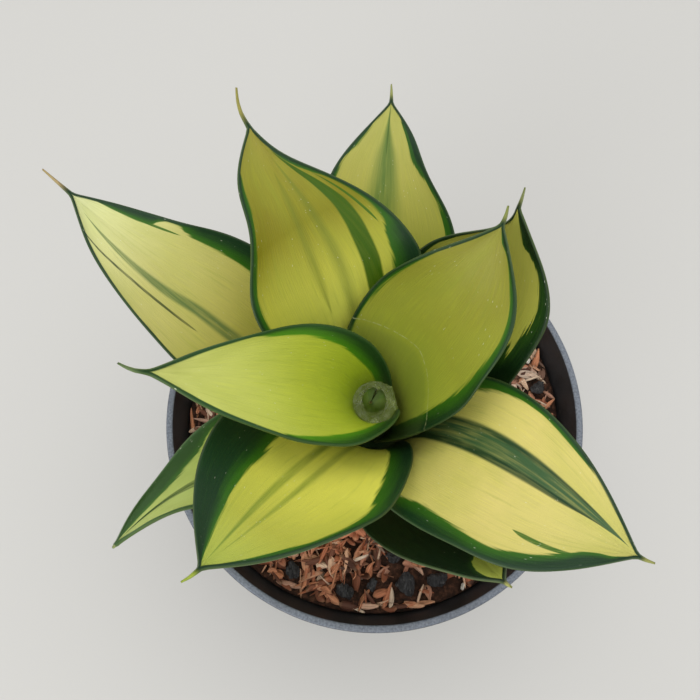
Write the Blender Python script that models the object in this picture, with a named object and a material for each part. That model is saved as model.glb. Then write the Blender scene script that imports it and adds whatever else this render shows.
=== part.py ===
"""A small snake plant in a round black nursery pot.

The pot stands on Z = 0 with its axis on the Z axis, and +Z points up. Ten broad pointed leaves and one young
rolled leaf grow in a rosette from a short crown, a little off the pot's axis towards -Y. The leaves are
numbered from the innermost outwards. Sizes below are in millimetres and angles in degrees; every mesh is
written in metres.
"""

import math
import random

import bmesh
import bpy
import numpy as np
from mathutils import Vector, noise

MM = 0.001

# Driving dimensions.
POT_HEIGHT = 115.0
RIM_RADIUS = 75.0
RIM_WIDTH = 2.5
BASE_RADIUS = 52.5
WALL = 1.8
COLLAR_HEIGHT = 12.0
FLOOR = 2.0
MULCH_TOP = 102.0
MULCH_DEPTH = 8.0
GAP = 0.3
TURN_STEPS = 56

# The underside: a flat middle, a raised channel with the drain holes, and a foot ring with water notches.
MIDDLE_RADIUS = 34.0
CHANNEL_RISE = 3.0
FOOT_INNER_RADIUS = 46.5
DRAIN_COUNT = 8
DRAIN_RADIUS = 4.0
NOTCH_COUNT = 4
NOTCH_WIDTH = 6.0
NOTCH_HEIGHT = 2.0

# The plant stands at this point of the mulch.
PLANT_X = -1.0
PLANT_Y = -6.0

# How the leaf bases nest on the crown: each next leaf starts wider and lower.
FIRST_BASE_RADIUS = 4.75
BASE_RADIUS_STEP = 1.75
FIRST_BASE_Z = 119.0
BASE_Z_STEP = 2.0

# A leaf's thickness, in the middle of the blade, at its foot and at its margin.
LEAF_THICKNESS = 2.4
FOOT_THICKNESS = 1.5
MARGIN_THICKNESS = 0.9
FOOT_WIDTH_SHARE = 0.6
WIDEST_CUP = 160.0
SPIKE_HALF_WIDTH = 0.6
SPIKE_END_SCALE = 0.35
PINCH_REACH = 0.11

ROWS = 15
SPIKE_ROWS = 3
MIDRIB_STEPS = 60


class Leaf:
    """One leaf. Azimuth runs from +X towards +Y; lean is from upright, at the foot and at the tip.

    cup is the half angle of the arc that the blade's section makes, and opening says between which shares of
    the length the rolled foot opens to it. taper is how full the tip is on the left and right side, and pinch
    narrows each side at the share given by pinch_at.
    """

    def __init__(self, place, azimuth, length, half_width, lean, cup, widest=0.52, twist=0.0, sweep=0.0,
                 hook=0.0, taper=(2.0, 2.0), pinch=(0.0, 0.0), pinch_at=(0.84, 0.84), opening=None, spike=5.0,
                 spike_turn=0.0, columns=8):
        self.name = f"leaf_{place:02d}"
        self.azimuth = azimuth
        self.length = length
        self.half_width = half_width
        self.lean = lean
        self.cup = cup
        self.widest = widest
        self.twist = twist
        self.sweep = sweep
        self.hook = hook
        self.taper = taper
        self.pinch = pinch
        self.pinch_at = pinch_at
        self.spike = spike
        self.spike_turn = spike_turn
        self.columns = columns
        self.base_radius = FIRST_BASE_RADIUS + BASE_RADIUS_STEP * (place - 1)
        self.base_z = FIRST_BASE_Z - BASE_Z_STEP * (place - 1)
        self.opening = opening or (0.0, max(0.65, 0.80 - 0.03 * place))
        self.foot_share = FOOT_WIDTH_SHARE
        self.thickest = LEAF_THICKNESS


def rosette():
    """The ten open leaves, from the innermost outwards."""
    return [
        Leaf(1, azimuth=191.5, length=114.5, half_width=22, lean=(2.5, 46.5), cup=31, widest=0.41, twist=5,
             sweep=-6, hook=2, taper=(2.0, 1.4), opening=(0.17, 0.71), spike=6.5, spike_turn=-35, columns=12),
        Leaf(2, azimuth=36, length=100, half_width=23.5, lean=(7, 37), cup=37, widest=0.51, twist=-7,
             sweep=2, hook=18, taper=(2.1, 2.3), pinch=(-0.08, -0.08), spike=5, spike_turn=25, columns=12),
        Leaf(3, azimuth=106.5, length=116, half_width=27, lean=(8.5, 53), cup=39, widest=0.60, twist=1.5,
             sweep=29, hook=-7.5, taper=(3.1, 1.3), pinch=(0.27, 0.60), pinch_at=(0.83, 0.975), spike=10,
             spike_turn=-42, columns=10),
        Leaf(4, azimuth=-128.5, length=115.5, half_width=25, lean=(5.5, 51), cup=29, widest=0.60, twist=-4,
             sweep=-3, hook=2, taper=(2.2, 2.4), spike=5, spike_turn=-22),
        Leaf(5, azimuth=-43, length=112, half_width=25, lean=(8, 68.5), cup=30, twist=-7,
             sweep=3, hook=2, taper=(2.0, 2.3), pinch=(0.0, -0.12), spike=3.6, spike_turn=16),
        Leaf(6, azimuth=33, length=103, half_width=24.5, lean=(21, 23.5), cup=25, widest=0.51, twist=14,
             sweep=40, hook=-5.5, taper=(2.5, 2.7), pinch=(0.9, -0.15), pinch_at=(1.0, 0.84), spike=6,
             spike_turn=11),
        Leaf(7, azimuth=150, length=123.5, half_width=23, lean=(21, 60.5), cup=32, widest=0.50,
             sweep=-2, hook=-8, taper=(2.0, 1.8), pinch=(0.0, 0.08), spike=9),
        Leaf(8, azimuth=82.5, length=107.5, half_width=24, lean=(21, 57), cup=29, widest=0.55,
             sweep=2, taper=(2.0, 1.9), pinch=(-0.12, 0.18), spike=5, spike_turn=5),
        Leaf(9, azimuth=-64, length=92.5, half_width=22.5, lean=(20, 34.5), cup=34, widest=0.51, twist=-3,
             sweep=2, hook=2, spike=3, spike_turn=20),
        Leaf(10, azimuth=-155, length=107.5, half_width=22, lean=(13, 54.5), cup=41, widest=0.42, twist=-12,
             sweep=11, hook=20, taper=(1.4, 1.3), pinch=(0.22, 0.22), spike=1),
    ]


def rolled_leaf():
    """The youngest leaf, still rolled up in the middle of the whorl."""
    leaf = Leaf(0, azimuth=-115, length=34, half_width=8.5, lean=(0, -1), cup=150, widest=0.55, taper=(3.0, 3.0),
                spike=1.5, columns=12)
    leaf.name = "young_rolled_leaf"
    leaf.base_radius = 2.6
    leaf.base_z = 123.0
    leaf.foot_share = 0.8
    leaf.thickest = 1.4
    return leaf


def smooth(x):
    x = np.clip(x, 0.0, 1.0)
    return x * x * (3.0 - 2.0 * x)


def clear_scene():
    for obj in list(bpy.data.objects):
        bpy.data.objects.remove(obj, do_unlink=True)


def plain_material(name, colour, roughness, metallic=0.0):
    material = bpy.data.materials.new(name)
    material.use_nodes = True
    shader = material.node_tree.nodes["Principled BSDF"]
    shader.inputs["Base Color"].default_value = (*colour, 1.0)
    shader.inputs["Roughness"].default_value = roughness
    shader.inputs["Metallic"].default_value = metallic
    material.diffuse_color = (*colour, 1.0)
    return material


def object_from(name, mesh_builder, material, sharp_angle=35.0):
    """Makes the object from a bmesh in millimetres, with its faces pointing out and shaded smooth."""
    mesh_builder.normal_update()
    bmesh.ops.recalc_face_normals(mesh_builder, faces=mesh_builder.faces)
    bmesh.ops.scale(mesh_builder, vec=Vector((MM, MM, MM)), verts=mesh_builder.verts)
    mesh = bpy.data.meshes.new(name)
    mesh_builder.to_mesh(mesh)
    mesh_builder.free()
    mesh.materials.append(material)
    mesh.shade_smooth()
    mesh.set_sharp_from_angle(angle=math.radians(sharp_angle))
    obj = bpy.data.objects.new(name, mesh)
    bpy.context.scene.collection.objects.link(obj)
    return obj


def turned(name, profile, material, steps=TURN_STEPS, centre=(0.0, 0.0)):
    """A solid of revolution about a vertical axis, from (radius, z) points that start and end on the axis."""
    builder = bmesh.new()
    points = [builder.verts.new((centre[0] + radius, centre[1], z)) for radius, z in profile]
    edges = [builder.edges.new(pair) for pair in zip(points[:-1], points[1:])]
    bmesh.ops.spin(builder, geom=points + edges, axis=(0, 0, 1), cent=(*centre, 0), angle=2 * math.pi,
                   steps=steps, use_merge=True)
    bmesh.ops.remove_doubles(builder, verts=builder.verts, dist=0.001)
    return object_from(name, builder, material)


def lofted(name, loops, material, closed=False):
    """A body through equal loops of points: capped at both ends, or joined from the last loop to the first."""
    builder = bmesh.new()
    rings = [[builder.verts.new(point) for point in loop] for loop in loops]
    count = len(rings[0])
    pairs = list(zip(rings[:-1], rings[1:]))
    if closed:
        pairs.append((rings[-1], rings[0]))
    for lower, upper in pairs:
        for i in range(count):
            j = (i + 1) % count
            builder.faces.new((lower[i], lower[j], upper[j], upper[i]))
    if not closed:
        for ring in (rings[0], rings[-1]):
            for i in range(count // 2 - 1):
                builder.faces.new((ring[i], ring[i + 1], ring[-2 - i], ring[-1 - i]))
    return object_from(name, builder, material)


def cut_away(obj, cutters):
    """Cuts the cutters out of the object with Boolean modifiers, which stay on it."""
    for cutter in cutters:
        cutter.hide_render = True
        cutter.display_type = "WIRE"
        modifier = obj.modifiers.new(f"cut_{cutter.name}", "BOOLEAN")
        modifier.operation = "DIFFERENCE"
        modifier.object = cutter


# The pot.

def wall_radius(z):
    """The outside of the tapered wall below the collar."""
    top = RIM_RADIUS - RIM_WIDTH + WALL
    return BASE_RADIUS + (top - BASE_RADIUS) * z / POT_HEIGHT


def inner_radius(z):
    return wall_radius(z) - WALL


def pot_profile():
    edge = 0.6
    floor_z = CHANNEL_RISE + FLOOR
    collar_z = POT_HEIGHT - COLLAR_HEIGHT
    return [
        (0.0, 0.0),
        (MIDDLE_RADIUS, 0.0),
        (MIDDLE_RADIUS + 1.0, CHANNEL_RISE),
        (FOOT_INNER_RADIUS - 0.5, CHANNEL_RISE),
        (FOOT_INNER_RADIUS, 0.0),
        (BASE_RADIUS - 1.5, 0.0),
        (wall_radius(1.5), 1.5),
        (wall_radius(collar_z - 1.0), collar_z - 1.0),
        (RIM_RADIUS - 0.8, collar_z - edge),
        (RIM_RADIUS - 0.2, collar_z),
        (RIM_RADIUS, POT_HEIGHT - 1.5),
        (RIM_RADIUS - 0.3, POT_HEIGHT - 0.4),
        (RIM_RADIUS - 1.0, POT_HEIGHT),
        (RIM_RADIUS - RIM_WIDTH + edge, POT_HEIGHT),
        (inner_radius(POT_HEIGHT - edge), POT_HEIGHT - edge),
        (inner_radius(floor_z + 2.0), floor_z + 2.0),
        (inner_radius(floor_z) - 1.5, floor_z),
        (MIDDLE_RADIUS - 0.2, floor_z),
        (MIDDLE_RADIUS - 1.5, FLOOR),
        (0.0, FLOOR),
    ]


def around(count, radius, start=0.0):
    """Points spaced evenly on a circle about the pot's axis."""
    for i in range(count):
        angle = start + 2 * math.pi * i / count
        yield i, angle, radius * math.cos(angle), radius * math.sin(angle)


def drain_cutters(material):
    radius = (MIDDLE_RADIUS + FOOT_INNER_RADIUS) / 2
    for i, _, x, y in around(DRAIN_COUNT, radius, math.pi / DRAIN_COUNT):
        builder = bmesh.new()
        bmesh.ops.create_cone(builder, cap_ends=True, segments=12, radius1=DRAIN_RADIUS, radius2=DRAIN_RADIUS,
                              depth=3 * FLOOR)
        bmesh.ops.translate(builder, vec=(x, y, CHANNEL_RISE + FLOOR / 2), verts=builder.verts)
        yield object_from(f"drain_cutter_{i}", builder, material)


def notch_cutters(material):
    radius = (FOOT_INNER_RADIUS + BASE_RADIUS) / 2
    for i, angle, x, y in around(NOTCH_COUNT, radius):
        builder = bmesh.new()
        bmesh.ops.create_cube(builder, size=1.0)
        bmesh.ops.scale(builder, vec=(11.0, NOTCH_WIDTH, 2 * NOTCH_HEIGHT), verts=builder.verts)
        for vert in builder.verts:
            along = vert.co.x
            across = vert.co.y
            vert.co.x = x + along * math.cos(angle) - across * math.sin(angle)
            vert.co.y = y + along * math.sin(angle) + across * math.cos(angle)
        yield object_from(f"notch_cutter_{i}", builder, material)


def make_pot():
    plastic = plain_material("black_pot_plastic", (0.03, 0.032, 0.038), 0.55)
    pot = turned("pot", pot_profile(), plastic)
    cut_away(pot, [*drain_cutters(plastic), *notch_cutters(plastic)])


# The potting mix, the crown and the mulch.

def crown_profile(extra=0.0):
    """The short stem that the leaves sit on: a root stock below the mulch and a cone inside the leaf feet."""
    return [
        (0.0, 80.0 - extra),
        (8.0 + extra, 80.0 - extra),
        (14.0 + extra, 84.0 - extra),
        (19.0 + extra, 90.0),
        (19.8 + extra, 95.0),
        (19.1 + extra, 101.0),
        (3.4 + extra, 119.0),
        (1.4 + extra, 121.6),
        (0.0, 121.6 + extra),
    ]


def make_crown():
    green = plain_material("crown_pale_green", (0.45, 0.42, 0.16), 0.6)
    turned("crown", crown_profile(), green, steps=28, centre=(PLANT_X, PLANT_Y))


def make_potting_mix():
    soil = plain_material("dark_potting_mix", (0.05, 0.032, 0.02), 0.95)
    top = MULCH_TOP - MULCH_DEPTH - GAP
    floor_z = CHANNEL_RISE + FLOOR + GAP
    profile = [
        (0.0, FLOOR + GAP),
        (MIDDLE_RADIUS - 2.0, FLOOR + GAP),
        (MIDDLE_RADIUS - 0.7, floor_z),
        (inner_radius(floor_z) - 2.0, floor_z),
        (inner_radius(floor_z + 2.0) - 0.5, floor_z + 2.0),
        (inner_radius(top) - GAP, top),
        (0.0, top),
    ]
    mix = turned("potting_mix", profile, soil)
    socket = turned("crown_socket_cutter", crown_profile(GAP), soil, steps=28, centre=(PLANT_X, PLANT_Y))
    cut_away(mix, [socket])


def mulch_height(x, y):
    """The uneven top of the mulch: two sizes of gentle bumps, in millimetres above Z = 0."""
    bumps = noise.noise(Vector((x / 17.0, y / 17.0, 3.1))) * 1.6
    small = noise.noise(Vector((x / 6.0, y / 6.0, 7.7))) * 0.8
    return MULCH_TOP + bumps + small


def mulch_ring(share, inner, outer, z=None):
    """One loop of the mulch between its hole round the crown (share 0) and the pot wall (share 1)."""
    loop = []
    for _, angle, cos_r, sin_r in around(TURN_STEPS, 1.0):
        x = (PLANT_X + inner * cos_r) * (1 - share) + outer * cos_r * share
        y = (PLANT_Y + inner * sin_r) * (1 - share) + outer * sin_r * share
        loop.append((x, y, mulch_height(x, y) if z is None else z))
    return loop


def make_mulch():
    husk = plain_material("husk_mulch_brown", (0.23, 0.11, 0.06), 0.9)
    bottom = MULCH_TOP - MULCH_DEPTH
    outer_top = inner_radius(MULCH_TOP) - 0.6
    outer_bottom = inner_radius(bottom) - GAP
    hole_top = 24.0
    hole_bottom = 20.4
    rings = 7
    loops = [mulch_ring(0.0, hole_bottom, outer_bottom, bottom)]
    loops += [mulch_ring(i / rings, hole_top, outer_top) for i in range(rings + 1)]
    loops.append(mulch_ring(1.0, hole_bottom, outer_bottom, bottom))
    lofted("husk_mulch", loops, husk, closed=True)


# Loose lumps on the mulch: charcoal, and two bits of pale grit.

def lump_mesh(size, seed, corners=13):
    """A broken lump: the convex hull of seeded points in an ellipsoid, resting on Z = 0."""
    draw = random.Random(seed)
    builder = bmesh.new()
    for _ in range(corners):
        direction = Vector((draw.gauss(0, 1), draw.gauss(0, 1), draw.gauss(0, 1))).normalized()
        point = Vector([direction[i] * size[i] / 2 * draw.uniform(0.86, 1.0) for i in range(3)])
        builder.verts.new(point)
    hull = bmesh.ops.convex_hull(builder, input=builder.verts, use_existing_faces=False)
    loose = {item for item in hull["geom_interior"] + hull["geom_unused"] if isinstance(item, bmesh.types.BMVert)}
    bmesh.ops.delete(builder, geom=list(loose), context="VERTS")
    lowest = min(vert.co.z for vert in builder.verts)
    bmesh.ops.translate(builder, vec=(0, 0, -lowest), verts=builder.verts)
    return builder


def ground_under(x, y, reach):
    """The highest point of the mulch within reach of (x, y)."""
    steps = [reach * i / 4 for i in range(-4, 5)]
    return max(mulch_height(x + dx, y + dy) for dx in steps for dy in steps)


def place_lump(name, x, y, size, turn, seed, material):
    builder = lump_mesh(size, seed)
    height = ground_under(x, y, max(size[:2]) / 2 + 2.0) + GAP
    angle = math.radians(turn)
    for vert in builder.verts:
        along = vert.co.x
        across = vert.co.y
        vert.co.x = x + along * math.cos(angle) - across * math.sin(angle)
        vert.co.y = y + along * math.sin(angle) + across * math.cos(angle)
        vert.co.z += height
    object_from(name, builder, material, sharp_angle=20.0)


def make_lumps():
    charcoal = plain_material("charcoal_black", (0.035, 0.035, 0.038), 0.85)
    grit = plain_material("pale_grit", (0.75, 0.73, 0.68), 0.9)
    lumps = [
        (7.0, -60.5, (9.5, 12.0, 6.5), 10),
        (19.0, -59.0, (9.0, 8.0, 6.0), 40),
        (-13.0, -61.5, (9.0, 7.0, 5.5), -15),
        (-3.5, -60.0, (6.5, 6.0, 5.0), 70),
        (-31.5, -53.5, (6.5, 8.0, 5.0), 20),
        (4.5, -51.0, (9.0, 5.5, 5.0), 0),
        (62.5, 8.0, (8.0, 6.5, 5.5), 60),
        (-62.0, 11.0, (8.0, 6.0, 5.0), -30),
    ]
    for number, (x, y, size, turn) in enumerate(lumps, start=1):
        place_lump(f"charcoal_lump_{number}", x, y, size, turn, number, charcoal)
    place_lump("grit_1", 28.0, -62.0, (3.8, 3.2, 2.8), 25, 21, grit)
    place_lump("grit_2", 60.5, 19.0, (4.2, 3.2, 2.8), -35, 22, grit)


# The leaves.

def midrib(leaf):
    """Steps along the midrib, with each one's centre, its upward normal and its sideways direction."""
    end = 1.0 + leaf.spike / leaf.length
    share = np.linspace(0.0, end, MIDRIB_STEPS + 1)
    lean = np.radians(leaf.lean[0] + (leaf.lean[1] - leaf.lean[0]) * smooth(share))
    turn = leaf.sweep * np.minimum(share, 1.0) ** 2 + leaf.hook * smooth((share - 0.65) / 0.35)
    turn = turn + leaf.spike_turn * smooth((share - 1.0) / (end - 1.0))
    azimuth = np.radians(leaf.azimuth + turn)
    forward = np.stack([np.sin(lean) * np.cos(azimuth), np.sin(lean) * np.sin(azimuth), np.cos(lean)], axis=1)
    step = leaf.length * end / MIDRIB_STEPS
    start = math.radians(leaf.azimuth)
    centre = np.zeros((MIDRIB_STEPS + 1, 3))
    centre[1:] = np.cumsum((forward[1:] + forward[:-1]) / 2 * step, axis=0)
    centre += (PLANT_X + leaf.base_radius * math.cos(start), PLANT_Y + leaf.base_radius * math.sin(start), leaf.base_z)
    up = np.stack([-np.cos(lean) * np.cos(azimuth), -np.cos(lean) * np.sin(azimuth), np.sin(lean)], axis=1)
    side = np.stack([-np.sin(azimuth), np.cos(azimuth), np.zeros_like(azimuth)], axis=1)
    twist = np.radians(leaf.twist * np.minimum(share, 1.0) ** 1.5)[:, None]
    twisted_up = up * np.cos(twist) + side * np.sin(twist)
    twisted_side = side * np.cos(twist) - up * np.sin(twist)
    return share, centre, twisted_up, twisted_side


def side_width(leaf, share, left):
    """The width from the midrib to the left or right margin."""
    edge = 0 if left else 1
    taper = leaf.taper[edge]
    if share >= 1.0:
        past_tip = (share - 1.0) * leaf.length / leaf.spike
        return SPIKE_HALF_WIDTH * (1.0 - (1.0 - SPIKE_END_SCALE) * past_tip)
    if share < leaf.widest:
        growth = math.sin(math.pi / 2 * share / leaf.widest)
        width = leaf.half_width * (leaf.foot_share + (1 - leaf.foot_share) * growth)
    else:
        width = leaf.half_width * (1 - ((share - leaf.widest) / (1 - leaf.widest)) ** taper)
    width *= 1 - leaf.pinch[edge] * math.exp(-(((share - leaf.pinch_at[edge]) / PINCH_REACH) ** 2))
    return max(width, SPIKE_HALF_WIDTH)


def thickness(leaf, share, across):
    """Full thickness: thick along the midrib, thinner at the foot, the tip and the margins."""
    if share > 1.0:
        return MARGIN_THICKNESS * 0.8
    foot = FOOT_THICKNESS + (leaf.thickest - FOOT_THICKNESS) * smooth(share / 0.35)
    middle = foot + (MARGIN_THICKNESS - foot) * smooth((share - 0.5) / 0.5)
    return middle + (min(MARGIN_THICKNESS, middle) - middle) * abs(across) ** 2.5


def leaf_section(leaf, share, frames):
    """The closed loop round the leaf's section: the upper face from right to left, then the lower face back."""
    steps, centres, ups, sides = frames
    centre = np.array([np.interp(share, steps, centres[:, i]) for i in range(3)])
    up = np.array([np.interp(share, steps, ups[:, i]) for i in range(3)])
    side = np.array([np.interp(share, steps, sides[:, i]) for i in range(3)])
    cup = math.radians(leaf.cup)
    foot_cup = min(leaf.half_width * leaf.foot_share / leaf.base_radius, math.radians(WIDEST_CUP))
    closed_until, opened_at = leaf.opening
    opened = smooth((share - closed_until) / (opened_at - closed_until))
    half_angle = foot_cup + (cup - foot_cup) * opened
    upper = []
    lower = []
    for across in np.linspace(-1.0, 1.0, leaf.columns + 1):
        radius = side_width(leaf, share, across > 0) / half_angle
        angle = across * half_angle
        point = centre + radius * (1 - math.cos(angle)) * up + radius * math.sin(angle) * side
        normal = math.cos(angle) * up - math.sin(angle) * side
        half = thickness(leaf, share, across) / 2
        upper.append(point + normal * half)
        lower.append(point - normal * half)
    return upper + lower[::-1]


def make_leaf(leaf, material):
    frames = midrib(leaf)
    shares = list(np.linspace(0.0, 1.0, ROWS))
    shares += list(np.linspace(1.0, 1.0 + leaf.spike / leaf.length, SPIKE_ROWS + 1)[1:])
    lofted(leaf.name, [leaf_section(leaf, share, frames) for share in shares], material)


def make_leaves():
    blade = plain_material("leaf_yellow_green", (0.47, 0.45, 0.08), 0.38)
    make_leaf(rolled_leaf(), blade)
    for leaf in rosette():
        make_leaf(leaf, blade)


clear_scene()
make_pot()
make_potting_mix()
make_mulch()
make_crown()
make_lumps()
make_leaves()
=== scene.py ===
"""The looks of a small variegated snake plant in a round black nursery pot.

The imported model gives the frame, in metres with +Z up, and the sizes below are in millimetres and degrees.
Each leaf is rebuilt on the same curves as its CAD solid, with a fine mesh that carries where every point lies
on the blade, so that the material can grow its green margins and stripes along the leaf.
"""

import math
import random

import bmesh
import bpy
import numpy as np
from mathutils import Matrix, Vector, noise


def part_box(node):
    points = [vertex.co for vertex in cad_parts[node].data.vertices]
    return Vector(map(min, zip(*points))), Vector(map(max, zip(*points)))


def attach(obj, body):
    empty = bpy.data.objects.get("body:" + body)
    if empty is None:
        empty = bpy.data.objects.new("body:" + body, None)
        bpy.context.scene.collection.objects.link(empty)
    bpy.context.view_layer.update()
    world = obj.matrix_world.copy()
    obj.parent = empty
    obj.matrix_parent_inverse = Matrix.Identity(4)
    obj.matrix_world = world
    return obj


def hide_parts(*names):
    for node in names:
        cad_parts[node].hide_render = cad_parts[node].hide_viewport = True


MM = 0.001
BODY = "root"

# The pot, as the CAD model has it.
POT_HEIGHT = 115.0
RIM_RADIUS = 75.0
RIM_WIDTH = 2.5
BASE_RADIUS = 52.5
WALL = 1.8
COLLAR_HEIGHT = 12.0
FLOOR = 2.0
MULCH_TOP = 102.0
MULCH_DEPTH = 8.0
MIDDLE_RADIUS = 34.0
CHANNEL_RISE = 3.0
FOOT_INNER_RADIUS = 46.5
DRAIN_COUNT = 8
DRAIN_RADIUS = 4.0
NOTCH_COUNT = 4
NOTCH_WIDTH = 6.0
NOTCH_HEIGHT = 2.0
POT_STEPS = 192

# The plant, as the CAD model has it.
PLANT_X = -1.0
PLANT_Y = -6.0
FIRST_BASE_RADIUS = 4.75
BASE_RADIUS_STEP = 1.75
FIRST_BASE_Z = 119.0
BASE_Z_STEP = 2.0
LEAF_THICKNESS = 2.4
FOOT_THICKNESS = 1.5
MARGIN_THICKNESS = 0.9
FOOT_WIDTH_SHARE = 0.6
WIDEST_CUP = 160.0
SPIKE_HALF_WIDTH = 0.5
SPIKE_END_SCALE = 0.12
PINCH_REACH = 0.11
MIDRIB_STEPS = 60

# How finely the leaves are meshed, and how round their margins are.
LEAF_ROWS = 110
SPIKE_ROWS = 8
LEAF_COLUMNS = 36
ROUND_MARGIN = 0.04

# The relief of a blade: slow swells, ripples along the margins, and a groove along the midrib.
SWELL_LENGTH = 26.0
SWELL_WIDTH = 15.0
SWELL_HEIGHT = 0.55
RIPPLE_LENGTH = 6.3
RIPPLE_HEIGHT = 0.55
GROOVE_SHARE = 0.06
GROOVE_DEPTH = 0.25

# The water in the innermost leaf: its level, its depth, and its surface from the wall inwards (share, rise).
WATER_LEVEL = 149.5
WATER_DEPTH = 5.0
WATER_RINGS = [(1.0, 0.45), (0.97, 0.22), (0.93, 0.07), (0.85, 0.0), (0.6, 0.0), (0.3, 0.0)]

# The husks strewn on the mulch: how many, their sizes, the shares of narrow and of overturned ones, how far
# they tilt, and how clear they stay of the plant's middle, of the lumps and of the pot's wall.
HUSK_COUNT = 3200
HUSK_ROWS = 8
HUSK_THICKNESS = 0.28
HUSK_LENGTH = (4.0, 10.5)
BROAD_HUSK = (1.5, 3.3)
NARROW_HUSK = (0.5, 1.0)
NARROW_SHARE = 0.35
OVERTURNED_SHARE = 0.3
HUSK_PITCH = 17.0
HUSK_ROLL = 35.0
HUSK_REACH = 5.0
HUSK_SEED = 11
PLANT_CLEARANCE = 26.5
LUMP_CLEARANCE = 1.4
WALL_CLEARANCE = 0.5

# The loose lumps on the mulch.
CHARCOAL_COUNT = 8
GRIT_COUNT = 2
LUMP_CUTS = 4

# The camera looks down on the plant from a little in front of it. Its place, tilt and roll come from a
# least-squares fit to the outline of the rim in the photo.
CAMERA_PLACE = (-7.3, -59.0, 361.5)
CAMERA_TILT = 18.42
CAMERA_ROLL = -3.02
CAMERA_LENS = 36.0
CAMERA_SENSOR = 36.0

FLOOR_SIZE = 3000.0

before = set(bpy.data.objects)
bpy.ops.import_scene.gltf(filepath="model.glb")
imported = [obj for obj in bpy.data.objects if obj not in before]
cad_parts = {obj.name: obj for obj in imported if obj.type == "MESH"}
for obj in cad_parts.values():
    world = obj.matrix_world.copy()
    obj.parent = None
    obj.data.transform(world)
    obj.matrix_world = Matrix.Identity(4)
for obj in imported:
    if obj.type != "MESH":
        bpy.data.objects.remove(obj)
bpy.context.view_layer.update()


def smooth(x):
    """Eases from 0 to 1 as x goes from 0 to 1."""
    x = np.clip(x, 0.0, 1.0)
    return x * x * (3.0 - 2.0 * x)


# Materials: a helper that makes nodes with short calls.

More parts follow.
